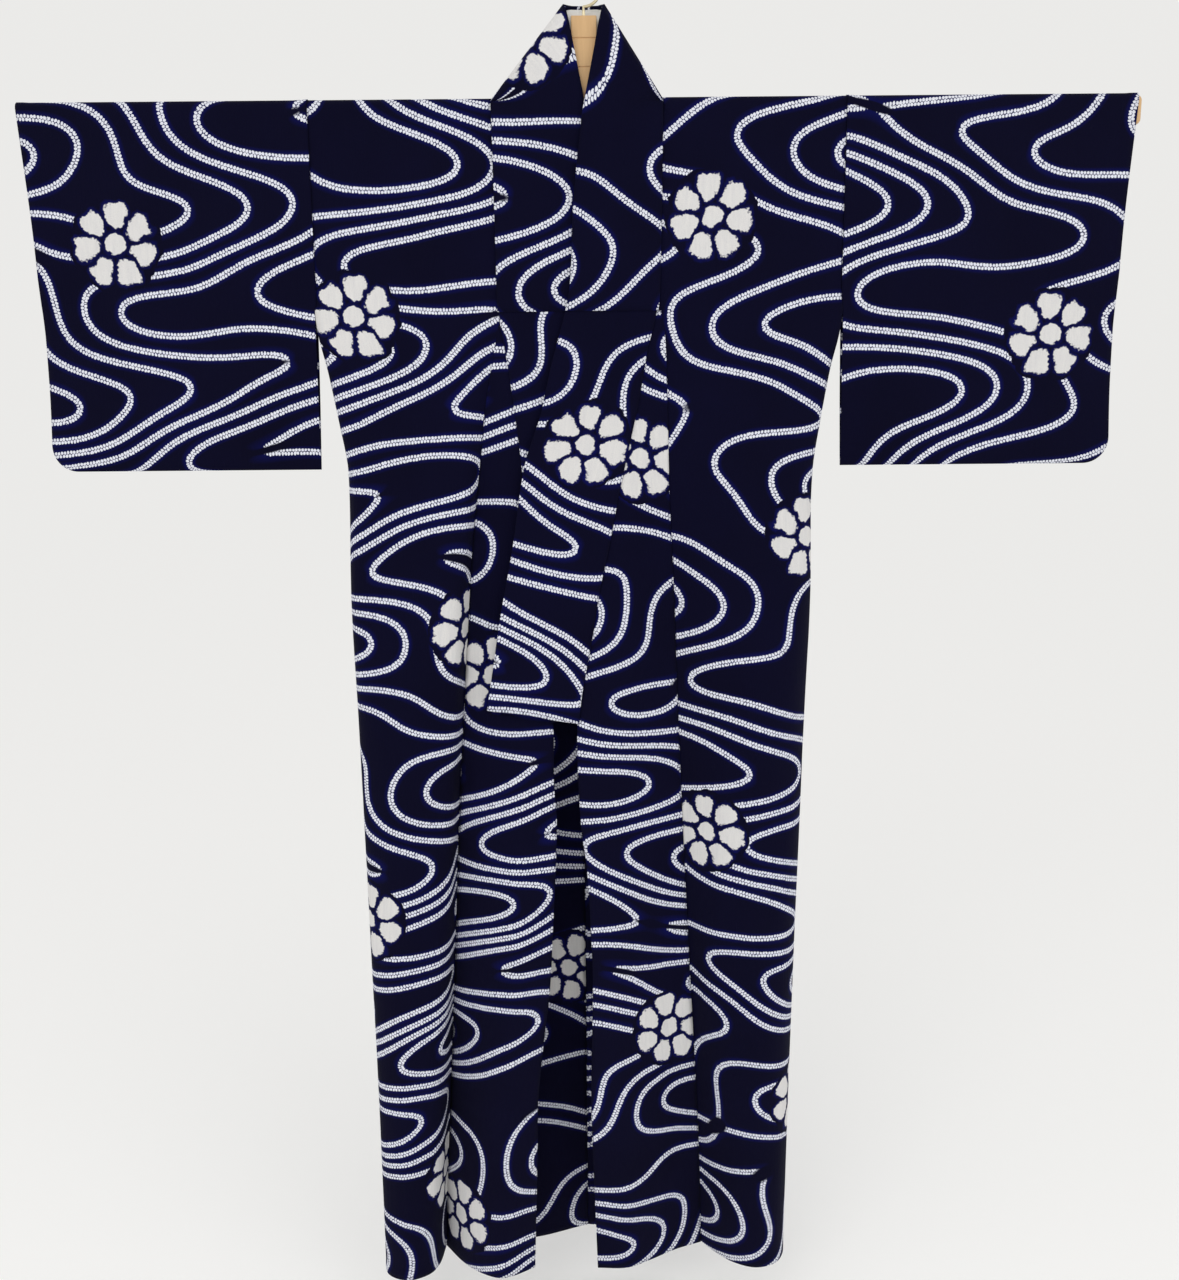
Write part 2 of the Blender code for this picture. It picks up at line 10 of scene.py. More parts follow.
import bmesh
import bpy
from mathutils import Euler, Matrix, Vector

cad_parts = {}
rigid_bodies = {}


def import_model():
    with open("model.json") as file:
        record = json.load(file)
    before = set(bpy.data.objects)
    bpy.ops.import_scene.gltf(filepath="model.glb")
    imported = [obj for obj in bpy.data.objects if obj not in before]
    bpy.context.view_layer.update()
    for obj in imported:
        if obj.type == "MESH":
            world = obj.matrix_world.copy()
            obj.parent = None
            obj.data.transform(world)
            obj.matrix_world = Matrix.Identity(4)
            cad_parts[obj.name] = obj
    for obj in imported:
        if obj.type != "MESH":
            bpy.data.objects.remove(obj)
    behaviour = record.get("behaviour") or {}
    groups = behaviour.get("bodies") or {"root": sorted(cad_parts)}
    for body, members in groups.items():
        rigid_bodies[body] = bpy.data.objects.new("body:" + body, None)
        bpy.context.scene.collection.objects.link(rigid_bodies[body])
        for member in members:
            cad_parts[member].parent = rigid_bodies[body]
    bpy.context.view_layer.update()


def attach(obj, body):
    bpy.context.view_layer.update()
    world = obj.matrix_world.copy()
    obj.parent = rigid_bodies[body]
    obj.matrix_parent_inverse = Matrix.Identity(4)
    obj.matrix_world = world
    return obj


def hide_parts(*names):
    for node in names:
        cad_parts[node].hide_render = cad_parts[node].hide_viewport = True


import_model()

MM = 0.001
ROBE_X, ROBE_Z = -8.5, -134.75

# The robe as a tailor measures it
SLEEVE_END = 650.0
ARMHOLE = 315.0
NECK = 97.2
NECK_DROP = 15.0
HEM = 1505.0
SLEEVE_LENGTH = 424.0
SLEEVE_SEWN_TO_BODY = 240.0
CUFF_OPENING = 230.0
SLEEVE_CORNER = 32.0
COLLAR_END = 742.0
COLLAR_COVER_END = 240.0
OKUMI_TIP = {"right": 255.0, "left": 240.0}
TURN_RADIUS = 7.4
HANGER_X = 8.5

# Cloth of the visible shells
HEM_CLOTH, THIN_SHARE = 1.6, 0.45
STEP_OVER = 1.1
TUCK_UNDER = 3.0
HEM_BAND = 13.0
EDGE_TURN, EDGE_BACK = 0.65, 10.0
SEAM_GAP = 0.5
FOLD_SEAM_ROOM = 0.7
COLLAR_OPENS = 15.0
LEFT_OVER_RIGHT = 2.6
CELL = 7.5
TURN_STEPS = 10

# Seam of the front with the collar, and below the okumi's tip with the okumi: (drop, x, y)
FRONT_SEAM = {
    "right": ((7, -97.2, -7.4), (114, -95.8, -7.6), (200, -94.9, -7.8), (216, -94.8, -7.8),
              (240, -95.0, -8.0), (270, -99.5, -8.0), (345, -114, -7.5), (400, -120.5, -7),
              (515, -134.5, -5), (642, -145, -2), (742, -153, 0), (890, -164, 3), (1050, -173, 6),
              (1290, -188, 10), (1440, -197, 11.5), (1505, -199, 12)),
    "left": ((7, 97.2, -7.4), (114, 95.8, -7.8), (200, 94.1, -8.2), (216, 93.8, -8.2), (240, 98.0, -8.5),
             (270, 103, -8.6), (345, 106, -8.5), (456, 109, -7.5), (575, 115, -5.5), (742, 122, -1.5),
             (907, 130, 3), (1106, 141, 8), (1313, 153, 13), (1440, 158, 15), (1505, 159, 15.5)),
}
# Seam of the collar down to its end, then the okumi's free front edge: (drop, x, y)
OKUMI_EDGE = {
    "right": ((7, -97.2, -7.4), (114, -95.8, -7.6), (200, -94.9, -7.8), (216, -94.8, -7.8),
              (240, -94.2, -8.0), (305, -84, -9), (392, -73, -10.5), (456, -66.5, -11.5),
              (600, -50.5, -13.5), (742, -38, -15), (820, -38, -18), (875, -35, -20), (1020, -42, -24),
              (1100, -47, -26), (1180, -57, -28), (1260, -65, -29.5), (1330, -67, -30.5),
              (1505, -73, -32)),
    "left": ((7, 97.2, -7.4), (114, 95.8, -7.8), (200, 94.1, -8.2), (216, 93.8, -8.2), (240, 91.5, -9),
             (274, 82, -10.5), (345, 69, -12.5), (456, 44.5, -16), (526, 31, -18), (575, 20, -19.5),
             (642, 9, -21.5), (700, -2, -23), (742, -7, -24), (810, -7, -25), (887, -3, -26.5),
             (931, 3, -27.5), (1060, 9, -29), (1120, 9, -30), (1260, 6, -31.5), (1440, 11, -33),
             (1505, 13, -34)),
}
# Free edge of the collar: (drop, x, y)
COLLAR_EDGE = {
    "right": ((15, 9, -7.4), (60, 9.5, -7.5), (114, 11, -7.6), (216, 16, -7.9), (270, 22, -8.0),
              (345, 33, -8.2), (456, 46, -8.5), (600, 62, -8.5), (742, 75, -8.5)),
    "left": ((15, 7.5, -12.5), (114, -4, -12.8), (216, -10, -13.4), (275, -25, -14.4), (323, -38, -15.6),
             (354, -44, -16.6), (419, -66, -19), (526, -84, -22.5), (607, -100, -25), (657, -108, -26.5),
             (725, -119, -28)),
}
# How much higher the collar's free edge lies than the seam across from it: (drop of the seam, rise)
COLLAR_LEAN = ((7, -8), (60, 0), (240, 0), (345, 9), (456, 18), (742, 19))

# Outermost line of the body below the armhole, as seen from the front: (drop, x, y)
SIDE_EDGE = {
    "right": ((7, -288, -7.4), (240, -290, -7.8), (285, -296, -7.8), (345, -294, -7.5), (430, -283, -9),
              (580, -286, -10), (742, -284, -11), (910, -282, -12), (1200, -278, -13.5),
              (1505, -277, -15)),
    "left": ((7, 288, -7.4), (240, 290, -7.8), (285, 295, -7.8), (345, 293, -7.5), (430, 283, -8),
             (580, 284, -8), (742, 281, -6), (910, 278, -4), (1200, 274, 0), (1505, 271.5, 5)),
}
# Side seam, or the open edges above it: (drop, x, y of the front's edge, y of the back's edge)
SIDE_SEAM = {
    "right": ((7, -ARMHOLE, -7.4, 7.4), (225, -ARMHOLE, -7.4, 7.4), (240, -ARMHOLE, -7.4, 7.4),
              (270, -311.5, -6.6, 6.8), (305, -304, -3, 4.2), (345, -297.5, 1, 1), (430, -283, 3, 3),
              (580, -284, 6, 6), (742, -281, 10, 10), (910, -277, 14, 14), (1200, -269, 21, 21),
              (1505, -263, 27, 27)),
    "left": ((7, ARMHOLE, -7.4, 7.4), (225, ARMHOLE, -7.4, 7.4), (240, ARMHOLE, -7.4, 7.4),
             (270, 311, -6.6, 6.8), (305, 303, -3, 4.2), (345, 296.5, 1, 1), (430, 282.5, 3, 3),
             (580, 282, 6, 6), (742, 278, 11, 11), (910, 273, 16, 16), (1200, 266, 24, 24),
             (1505, 259, 31, 31)),
}
SIDE_SEAM_STEP = (0.8, 1.8)
SIDE_SEAM_CLOSES = (240.0, 305.0)
# Fold of the front between its two edges, at the hem: (share of the way to the side, forward)
FRONT_FOLD = {
    "right": ((0.06, 34), (0.20, 50), (0.56, 52), (0.92, 30)),
    "left": ((0.14, 18), (0.35, 37), (0.62, 45), (0.88, 32)),
}
OKUMI_FOLD = {
    "right": ((0.22, 24), (0.45, 36), (0.68, 34)),
    "left": ((0.25, 2), (0.50, 10), (0.72, 14)),
}
# Share of that fold which is left higher up: (drop, share)
FRONT_FULLNESS = ((7, 0.0), (240, 0.03), (345, 0.16), (456, 0.42), (642, 0.62), (970, 0.80),
                  (1290, 0.93), (1505, 1.0))
OKUMI_FULLNESS = ((7, 0.0), (255, 0.0), (515, 0.10), (742, 0.26), (890, 0.48), (1050, 0.68),
                  (1290, 0.87), (1505, 1.0))
# Lines down the back, from the centre seam outwards: (drop, x, y)
BACK_LINES = {
    "right": (((7, 0, 7.4), (300, 0, 9), (700, 0, 20), (1100, 0, 36), (1505, 0, 54)),
              ((7, -104, 7.4), (300, -100, 9.5), (700, -92, 15), (1100, -90, 20), (1505, -90, 26)),
              ((7, -208, 7.4), (300, -198, 9), (700, -184, 20), (1100, -178, 31), (1505, -176, 42))),
    "left": (((7, 0, 7.4), (300, 0, 9), (700, 0, 20), (1100, 0, 36), (1505, 0, 54)),
             ((7, 104, 7.4), (300, 101, 10), (700, 95, 20), (1100, 94, 33), (1505, 92, 47)),
             ((7, 208, 7.4), (300, 199, 9), (700, 186, 15), (1100, 182, 22), (1505, 180, 30))),
}
# Half the depth between the sleeve's two layers: (drop, depth)
SLEEVE_DEPTH = ((7, 7.4), (120, 7.6), (240, 7.2), (340, 5.2), (400, 2.4), (424, 1.0))
SEWN_DEPTH = 0.95
CUFF_CLOSE_WIDTH = 90.0
# The two edges of the sleeve: (drop, x)
SLEEVE_INNER = ((7, ARMHOLE), (240, ARMHOLE), (424, 318.0))
SLEEVE_OUTER = ((7, SLEEVE_END), (160, 642.0), (320, 642.0), (424, 647.0))
# Collar above the shoulder, from the front over its slanting fold to the centre back:
# (seam x, drop, y, free edge x measured from the hanger's middle, drop, y)
NECK_STATIONS = ((96.6, 6.0, -7.4, 10.0, -38, -8.6), (96.2, 4.4, -7.2, 20.0, -88, -8.4),
                 (95.8, 1.4, -5.2, 22.0, -95, -6.0), (95.4, -0.4, 0.0, 22.5, -98, 0.0),
                 (95.4, 1.4, 5.2, 21.0, -100, 6.0), (94.4, 6.2, 7.4, 18.5, -101, 9.0),
                 (64.0, 9.2, 7.8, 12.0, -101.5, 10.5), (32.0, 11.6, 8.2, 6.0, -101.5, 11.2))
NECK_CENTRE = (0.0, NECK_DROP - 0.5, 8.4, 0.0, -101.5, 11.5)

# Solids that make up half the body
BODY_SOLIDS = ("shoulder", "front_upper", "front_middle", "front_lower",
               "back_upper", "back_middle", "back_lower")

# Grids of the shells
ROWS = round((HEM - TURN_RADIUS) / CELL)
NECK_COLUMNS, FRONT_COLUMNS = 13, 29
SLEEVE_COLUMNS, SLEEVE_ROWS = 46, 58
OKUMI_COLUMNS = 22
COLLAR_COLUMNS, LINING_COLUMNS = 18, 8
COLLAR_FRONT_STEPS = 24

# Shares of the collar's width that each strip covers, from the seam to the free edge
COLLAR_REACH = (-0.02, 1.0)
COVER_REACH = (-0.028, 1.015)
LINING_REACH = (0.35, 0.97)
LINING_HALF_STATIONS = 14
LINING_BEHIND = 1.2

# How the front tucks in behind the okumi: backward at its edge, backward at the tuck, length of the change
TUCK_BEHIND = (0.9, 1.7)
TUCK_EASE = 60.0

# How the sleeve laps over the body: where it eases off above the seam's foot, how far it reaches,
# its width on the flat cloth, and the share of its rise on the next two columns
LAP_EASE = 15.0
LAP_OPEN, LAP_SEWN = 0.1, 2.4
LAP_WIDTH = 2.5
LAP_RISE = (0.85, 0.3)

# How the sleeve's rows gather towards the shoulder, and how its cuff closes below the opening
SLEEVE_ROW_POWER = 0.9
CUFF_EASE = 30.0

# Shape of a crease: how far it reaches and how far it bends, in half widths, and how often it bends
CREASE_REACH, CREASE_BEND, CREASE_TURNS = 3, 0.25, 5.0


def smooth(rows, at, column=1):
    """Read a column of a table at a place between its rows, along a smooth curve."""
    if at <= rows[0][0]:
        return rows[0][column]
    if at >= rows[-1][0]:
        return rows[-1][column]
    i = next(k for k in range(len(rows) - 1) if rows[k + 1][0] >= at)

    def slope(k):
        low, high = max(k - 1, 0), min(k + 1, len(rows) - 1)
        return (rows[high][column] - rows[low][column]) / (rows[high][0] - rows[low][0])

    step = rows[i + 1][0] - rows[i][0]
    s = (at - rows[i][0]) / step
    start, end = rows[i][column], rows[i + 1][column]
    return ((2 * s ** 3 - 3 * s ** 2 + 1) * start + (s ** 3 - 2 * s ** 2 + s) * step * slope(i)
            + (3 * s ** 2 - 2 * s ** 3) * end + (s ** 3 - s ** 2) * step * slope(i + 1))


def ease(value, start, end):
    """Go smoothly from 0 to 1 as the value goes from start to end."""
    share = min(max((value - start) / (end - start), 0.0), 1.0)
    return share * share * (3 - 2 * share)


def line_point(rows, drop):
    """Point of a line at a drop, as (x, y, z) in the robe's frame, still in millimetres."""
    return Vector((smooth(rows, drop, 1), smooth(rows, drop, 2), -drop))


def along(points, share):
    """Point at a share of the length of a smooth curve through the given points."""
    lengths = [0.0]
    for a, b in zip(points, points[1:]):
        lengths.append(lengths[-1] + (b - a).length)
    rows = [(length, *point) for length, point in zip(lengths, points)]
    return Vector([smooth(rows, share * lengths[-1], column) for column in (1, 2, 3)])


def folded(start, end, fold, fullness):
    """Points of a fold that bulges forward between two edges."""
    inside = [start.lerp(end, share) + Vector((0, -forward * fullness, 0)) for share, forward in fold]
    return [start, *inside, end]


def outward(side):
    """Direction along x that leads away from the robe's middle."""
    return -1 if side == "right" else 1


def evenly(first, last, count):
    """Values from the first to the last, in equal steps."""
    return [first + (last - first) * step / count for step in range(count + 1)]


def front_point(side, share, drop):
    """Front of the body: share 0 is its inner seam and 1 the side seam."""
    out = outward(side)
    inner = line_point(FRONT_SEAM[side], drop) + Vector((out * SEAM_GAP / 2, 0, 0))
    inner.x += out * FOLD_SEAM_ROOM * smooth(FRONT_FULLNESS, drop)
    edge = line_point(SIDE_EDGE[side], drop)
    seam = line_point(SIDE_SEAM[side], drop)
    if drop <= SLEEVE_SEWN_TO_BODY:
        seam.x -= out * SEAM_GAP / 2
    curve = folded(inner, edge, FRONT_FOLD[side], smooth(FRONT_FULLNESS, drop))
    return along([*curve, seam], share)


def back_point(side, share, drop):
    """Back of the body: share 0 is the centre seam and 1 the side seam."""
    out = outward(side)
    points = [line_point(rows, drop) for rows in BACK_LINES[side]]
    points[0].x += out * SEAM_GAP / 2
    seam = Vector((smooth(SIDE_SEAM[side], drop, 1), smooth(SIDE_SEAM[side], drop, 3), -drop))
    if drop <= SLEEVE_SEWN_TO_BODY:
        seam.x -= out * SEAM_GAP / 2
    low, high = SIDE_SEAM_CLOSES
    closed = min(max((drop - low) / (high - low), 0), 1)
    seam += closed * Vector((out * SIDE_SEAM_STEP[0], SIDE_SEAM_STEP[1], 0))
    return along([*points, seam], share)


def over_bar(point, step):
    """Carry a point on the front's top row over the bar, by a share of the half turn."""
    angle = math.pi * step
    return Vector((point.x, -TURN_RADIUS * math.cos(angle), TURN_RADIUS * (math.sin(angle) - 1)))


def row_drop(row):
    """Drop of a row of the shell's grid, counted from the shoulder."""
    return TURN_RADIUS + (HEM - TURN_RADIUS) * row / ROWS


def body_point(side, column, row):
    """Half the body: rows run from the front's hem over the shoulder to the back's hem."""
    neck_share = NECK / ARMHOLE
    front_share = max(column - NECK_COLUMNS, 0) / FRONT_COLUMNS
    if row <= ROWS:
        return front_point(side, front_share, row_drop(ROWS - row))
    if row < ROWS + TURN_STEPS:
        return over_bar(front_point(side, front_share, TURN_RADIUS), (row - ROWS) / TURN_STEPS)
    if column <= NECK_COLUMNS:
        back_share = neck_share * column / NECK_COLUMNS
    else:
        back_share = neck_share + (1 - neck_share) * front_share
    start = NECK_DROP + (TURN_RADIUS - NECK_DROP) * min(column / NECK_COLUMNS, 1)
    drop = start + (HEM - start) * (row - ROWS - TURN_STEPS) / ROWS
    point = back_point(side, back_share, drop)
    if row == ROWS + TURN_STEPS and column >= NECK_COLUMNS:
        point.x = front_point(side, front_share, TURN_RADIUS).x
    return point


def body_has_cell(column, row):
    """The neck is left out, but for the strip that the front tucks under its neighbour."""
    is_tuck = column == NECK_COLUMNS - 1 and row < ROWS - 2
    return column >= NECK_COLUMNS or row >= ROWS + TURN_STEPS or is_tuck


def okumi_point(side, share, drop):
    """Okumi, the narrow overlap panel: share 0 is its seam with the front."""
    out = outward(side)
    seam = line_point(FRONT_SEAM[side], drop) - Vector((out * SEAM_GAP / 2, 0, 0))
    seam.x -= out * FOLD_SEAM_ROOM * smooth(OKUMI_FULLNESS, drop)
    edge = line_point(OKUMI_EDGE[side], drop)
    if drop <= COLLAR_END:
        edge.x += out * SEAM_GAP / 2
    curve = folded(seam, edge, OKUMI_FOLD[side], smooth(OKUMI_FULLNESS, drop))
    return along(curve, share)


def collar_front(side, drop):
    """Seam point and free-edge point of the collar at a drop."""
    out = outward(side)
    seam = line_point(OKUMI_EDGE[side], drop) - Vector((out * SEAM_GAP / 2, 0, 0))
    return seam, line_point(COLLAR_EDGE[side], max(drop - smooth(COLLAR_LEAN, drop), COLLAR_OPENS))


def collar_neck(out):
    """Seam and free-edge points of the collar round one half of the neck."""
    for number, (x, drop, y, free_x, free_drop, free_y) in enumerate(NECK_STATIONS):
        if out > 0 and number == 0:
            free_y -= LEFT_OVER_RIGHT
        seam = Vector((out * (x - SEAM_GAP / 2), y, -drop))
        yield seam, Vector((HANGER_X + out * free_x, free_y, -free_drop))


def collar_stations(last_drop):
    """Collar stations from the right end over the neck to the left end, evenly along its middle."""
    drops = evenly(TURN_RADIUS, last_drop, COLLAR_FRONT_STEPS)
    right = [collar_front("right", drop) for drop in drops]
    left = [collar_front("left", drop) for drop in drops]
    x, drop, y, free_x, free_drop, free_y = NECK_CENTRE
    centre = (Vector((x, y, -drop)), Vector((HANGER_X + free_x, free_y, -free_drop)))
    coarse = [*reversed(right), *collar_neck(-1), centre, *reversed(list(collar_neck(1))), *left]
    lengths = [0.0]
    for a, b in zip(coarse, coarse[1:]):
        lengths.append(lengths[-1] + ((b[0] + b[1]) / 2 - (a[0] + a[1]) / 2).length)
    rows = [(length, *seam, *free) for length, (seam, free) in zip(lengths, coarse)]
    count = round(lengths[-1] / CELL)
    stations = []
    for k in range(count + 1):
        place = [smooth(rows, lengths[-1] * k / count, column) for column in range(1, 7)]
        stations.append((Vector(place[:3]), Vector(place[3:])))
    return stations


def sleeve_point(side, column, row):
    """Sleeve: rows run from the bottom of its front over the bar to the bottom of its back."""
    out = outward(side)
    if row <= SLEEVE_ROWS:
        share, layer = 1 - row / SLEEVE_ROWS, -1
    elif row >= SLEEVE_ROWS + TURN_STEPS:
        share, layer = (row - SLEEVE_ROWS - TURN_STEPS) / SLEEVE_ROWS, 1
    else:
        share, layer = 0.0, 0
    spread = math.sin(share * math.pi / 2) ** SLEEVE_ROW_POWER
    drop = TURN_RADIUS + (SLEEVE_LENGTH - TURN_RADIUS) * spread
    corner = max(drop - (SLEEVE_LENGTH - SLEEVE_CORNER), 0) / SLEEVE_CORNER
    outer = smooth(SLEEVE_OUTER, drop) - SLEEVE_CORNER * (1 - math.sqrt(max(1 - corner ** 2, 0)))
    inner = smooth(SLEEVE_INNER, drop) + SEAM_GAP / 2
    x = inner + (outer - inner) * column / SLEEVE_COLUMNS
    if layer == 0:
        return over_bar(Vector((out * x, 0, 0)), (row - SLEEVE_ROWS) / TURN_STEPS)
    to_cuff = min(max((x - (outer - CUFF_CLOSE_WIDTH)) / CUFF_CLOSE_WIDTH, 0), 1)
    below_opening = min(max((drop - CUFF_OPENING + CUFF_EASE) / (2 * CUFF_EASE), 0), 1)
    depth = smooth(SLEEVE_DEPTH, drop)
    depth = SEWN_DEPTH + (depth - SEWN_DEPTH) * (1 - to_cuff ** 2 * below_opening)
    return Vector((out * x, layer * depth, -drop))


def grid_normals(points):
    """Normals of a grid of points, from each point's neighbours."""
    last_row, last_column = len(points) - 1, len(points[0]) - 1
    normals = []
    for r, row in enumerate(points):
        line = []
        for c in range(len(row)):
            across = row[min(c + 1, last_column)] - row[max(c - 1, 0)]
            down = points[min(r + 1, last_row)][c] - points[max(r - 1, 0)][c]
            normal = across.cross(down)
            line.append(normal.normalized() if normal.length > 1e-9 else Vector((0, -1, 0)))
        normals.append(line)
    return normals


def crease_height(creases, u, v):
    """Height of the listed creases at a place on the cloth."""
    height = 0.0
    for (u0, v0), (u1, v1), width, rise in creases:
        du, dv = u1 - u0, v1 - v0
        length = math.hypot(du, dv)
        along_it = ((u - u0) * du + (v - v0) * dv) / length
        if not 0 < along_it < length:
            continue
        beside = ((u - u0) * dv - (v - v0) * du) / length
        if abs(beside) > CREASE_REACH * width:
            continue
        taper = math.sin(math.pi * along_it / length)
        bend = CREASE_BEND * width * math.sin(CREASE_TURNS * along_it / length + u0)
        height += rise * taper * math.exp(-((beside - bend) / width) ** 2)
    return height


class Sheet:
    """A grid of cloth points with their place on the flat cloth, both in millimetres."""

    def __init__(self, points, flat, facing, has_cell=None):
        self.points = points
        self.flat = flat
        self.facing = facing
        self.has_cell = has_cell or (lambda column, row: True)

    def raise_by(self, height):
        """Move each point out of the cloth by height(u, v)."""
        normals = grid_normals(self.points)
        for r, row in enumerate(self.points):
            for c in range(len(row)):
                row[c] = row[c] + normals[r][c] * self.facing * height(*self.flat[r][c])

    def turn_edge_in(self):
        """Fold the last column back behind the cloth, as a pressed edge."""
        normals = grid_normals(self.points)
        for r, row in enumerate(self.points):
            edge, (u, v) = row[-1], self.flat[r][-1]
            ahead = (row[-1] - row[-2]).normalized()
            inside = normals[r][-1] * -self.facing
            for angle in (math.radians(60 * step) for step in (1, 2, 3)):
                forward, backward = math.sin(angle), 1 - math.cos(angle)
                row.append(edge + ahead * EDGE_TURN * forward + inside * EDGE_TURN * backward)
                self.flat[r].append((u + EDGE_TURN * angle, v))
            row.append(edge + inside * 2 * EDGE_TURN - ahead * EDGE_BACK)
            self.flat[r].append((u + EDGE_TURN * math.pi + EDGE_BACK, v))

    def build(self, name, surfaces, flowers, is_hem):
        """Make the object with its face and rim materials, and UV maps for the lines and the flowers."""
        mesh = bmesh.new()
        lines = mesh.loops.layers.uv.new("lines")
        blossoms = mesh.loops.layers.uv.new("flowers")
        used, places = {}, []

        def vertex(r, c):
            if (r, c) not in used:
                x, y, z = self.points[r][c]
                used[r, c] = mesh.verts.new(((x + ROBE_X) * MM, y * MM, (z + ROBE_Z) * MM))
                places.append((r, c))
            return used[r, c]

        for r in range(len(self.points) - 1):
            for c in range(len(self.points[0]) - 1):
                if not self.has_cell(c, r):
                    continue
                corners = ((r, c), (r, c + 1), (r + 1, c + 1), (r + 1, c))
                face = mesh.faces.new([vertex(*corner) for corner in corners])
                face.smooth = True
                for loop, (at_row, at_column) in zip(face.loops, corners):
                    u, v = self.flat[at_row][at_column]
                    place = flowers(u, v, r, self.points[at_row][at_column])
                    loop[lines].uv = (u * MM, v * MM)
                    loop[blossoms].uv = [part * MM for part in place]
        data = bpy.data.meshes.new(name)
        mesh.to_mesh(data)
        mesh.free()
        for surface in surfaces:
            data.materials.append(surface)
        made = bpy.data.objects.new(name, data)
        bpy.context.scene.collection.objects.link(made)
        hems = made.vertex_groups.new(name="hems")
        thick = [k for k, (r, c) in enumerate(places) if is_hem(-self.points[r][c].z, *self.flat[r][c])]
        hems.add(thick, 1.0, "ADD")
        wall = made.modifiers.new("cloth", "SOLIDIFY")
        wall.thickness = HEM_CLOTH * MM
        wall.offset = 0.0
        wall.material_offset_rim = 1
        wall.vertex_group = "hems"
        wall.thickness_vertex_group = THIN_SHARE
        return made


def lengths_along(points):
    """Distance of each point from the first, along a row."""
    found = [0.0]
    for a, b in zip(points, points[1:]):
        found.append(found[-1] + (b - a).length)
    return found


# Creases on the flat cloth: start and end as (across, along), half width and rise.
# Across is measured from the outer edge on body and sleeves, and from the seam on okumi and collar.
# Along is measured from the shoulder, negative on the back, and on the collar from its right end.
BODY_CREASES = {
    "right": (((60, 300), (150, 620), 16, -2.2), ((120, 250), (190, 560), 12, 1.8),
              ((20, 420), (60, 800), 18, 2.0), ((150, 640), (120, 1080), 20, -2.4),
              ((70, 760), (90, 1200), 15, 1.8), ((30, 20), (140, 190), 14, -1.5),
              ((175, 20), (120, 240), 13, 1.4), ((100, 1120), (130, 1480), 18, -2.0),
              ((20, 950), (40, 1400), 14, 1.6), ((60, -300), (140, -700), 22, -2.4),
              ((200, -260), (170, -640), 18, 2.0), ((260, -60), (200, -330), 15, -1.6),
              ((90, -760), (60, -1200), 20, 2.2), ((230, -700), (250, -1300), 24, -2.6),
              ((160, -980), (140, -1460), 18, 2.0), ((30, -40), (120, -240), 13, 1.4)),
    "left": (((50, 280), (130, 560), 15, 2.0), ((110, 300), (60, 700), 17, -2.2),
             ((180, 360), (150, 760), 14, 1.6), ((30, 640), (80, 1050), 19, -2.2),
             ((130, 760), (160, 1230), 17, 2.0), ((90, 1050), (60, 1450), 16, 1.8),
             ((190, 900), (180, 1380), 15, -1.8), ((40, 25), (150, 210), 13, 1.5),
             ((190, 30), (130, 250), 14, -1.4), ((70, -280), (130, -660), 20, 2.2),
             ((190, -300), (220, -760), 22, -2.4), ((270, -50), (210, -300), 14, 1.6),
             ((60, -720), (90, -1240), 21, -2.3), ((150, -860), (170, -1400), 18, 2.0),
             ((260, -800), (240, -1380), 23, 2.2), ((40, -30), (140, -230), 14, -1.5)),
}
SLEEVE_CREASES = {
    "right": (((30, 40), (120, 380), 17, -1.8), ((90, 20), (220, 330), 15, 1.6),
              ((200, 60), (160, 400), 19, -1.6), ((290, 30), (250, 300), 16, 1.5),
              ((60, -30), (150, -390), 17, 1.7), ((180, -50), (240, -360), 16, -1.8),
              ((290, -60), (270, -330), 14, 1.4)),
    "left": (((40, 60), (90, 390), 16, 1.7), ((150, 20), (110, 360), 18, -1.7),
             ((230, 40), (260, 350), 15, 1.6), ((300, 60), (210, 380), 16, -1.4),
             ((50, -40), (120, -400), 18, -1.8), ((170, -30), (200, -370), 15, 1.6),
             ((280, -50), (250, -380), 17, -1.5)),
}
OKUMI_CREASES = {
    "right": (((40, 420), (60, 760), 12, -1.4), ((80, 800), (100, 1180), 15, 1.6),
              ((40, 980), (50, 1420), 14, -1.5)),
    "left": (((40, 420), (70, 800), 13, 1.4), ((90, 860), (110, 1260), 15, -1.6),
             ((50, 1020), (60, 1440), 14, 1.4)),
}
COLLAR_CREASES = (((30, 120), (50, 420), 7, -0.9), ((75, 160), (70, 520), 8, 0.9),
                  ((50, 430), (80, 700), 7, 0.8), ((35, 1150), (60, 1420), 8, -0.9),
                  ((80, 1100), (75, 1500), 7, 0.8), ((50, 1400), (40, 1680), 8, 0.8))

# Flower repeat along the cloth, and its two columns measured across the cloth
REPEAT = 755.0
COLUMN_A, COLUMN_B = 100.0, 235.0

# Where a flower column falls on each piece: (moved across, moved along)
BODY_FRONT_FLOWERS = {"right": (54.0, -248.0), "left": (77.0, -515.0)}
BODY_BACK_FLOWERS = {"right": (-16.5, 1102.0 + REPEAT / 2), "left": (20.0, 420.0)}
SLEEVE_FLOWERS = {"right": (-4.0, -163.0), "left": (14.0, -275.0)}
OKUMI_FLOWERS = {
    "right": (COLUMN_B - 35.0, REPEAT / 2 - 680.0),
    "left": (COLUMN_B - 35.0, REPEAT / 2 - 413.0),
}
COLLAR_FLOWERS = (COLUMN_B - 52.0, REPEAT / 2 - 1375.0)
# The flower at the neck, placed in the robe's own frame: (x, z)
NECK_FLOWER = (-59.0, 62.0)


def shifted(moved):
    """Flower places that are the flat cloth's own, moved by a fixed amount."""
    return lambda u, v, row, point: (u + moved[0], v + moved[1])


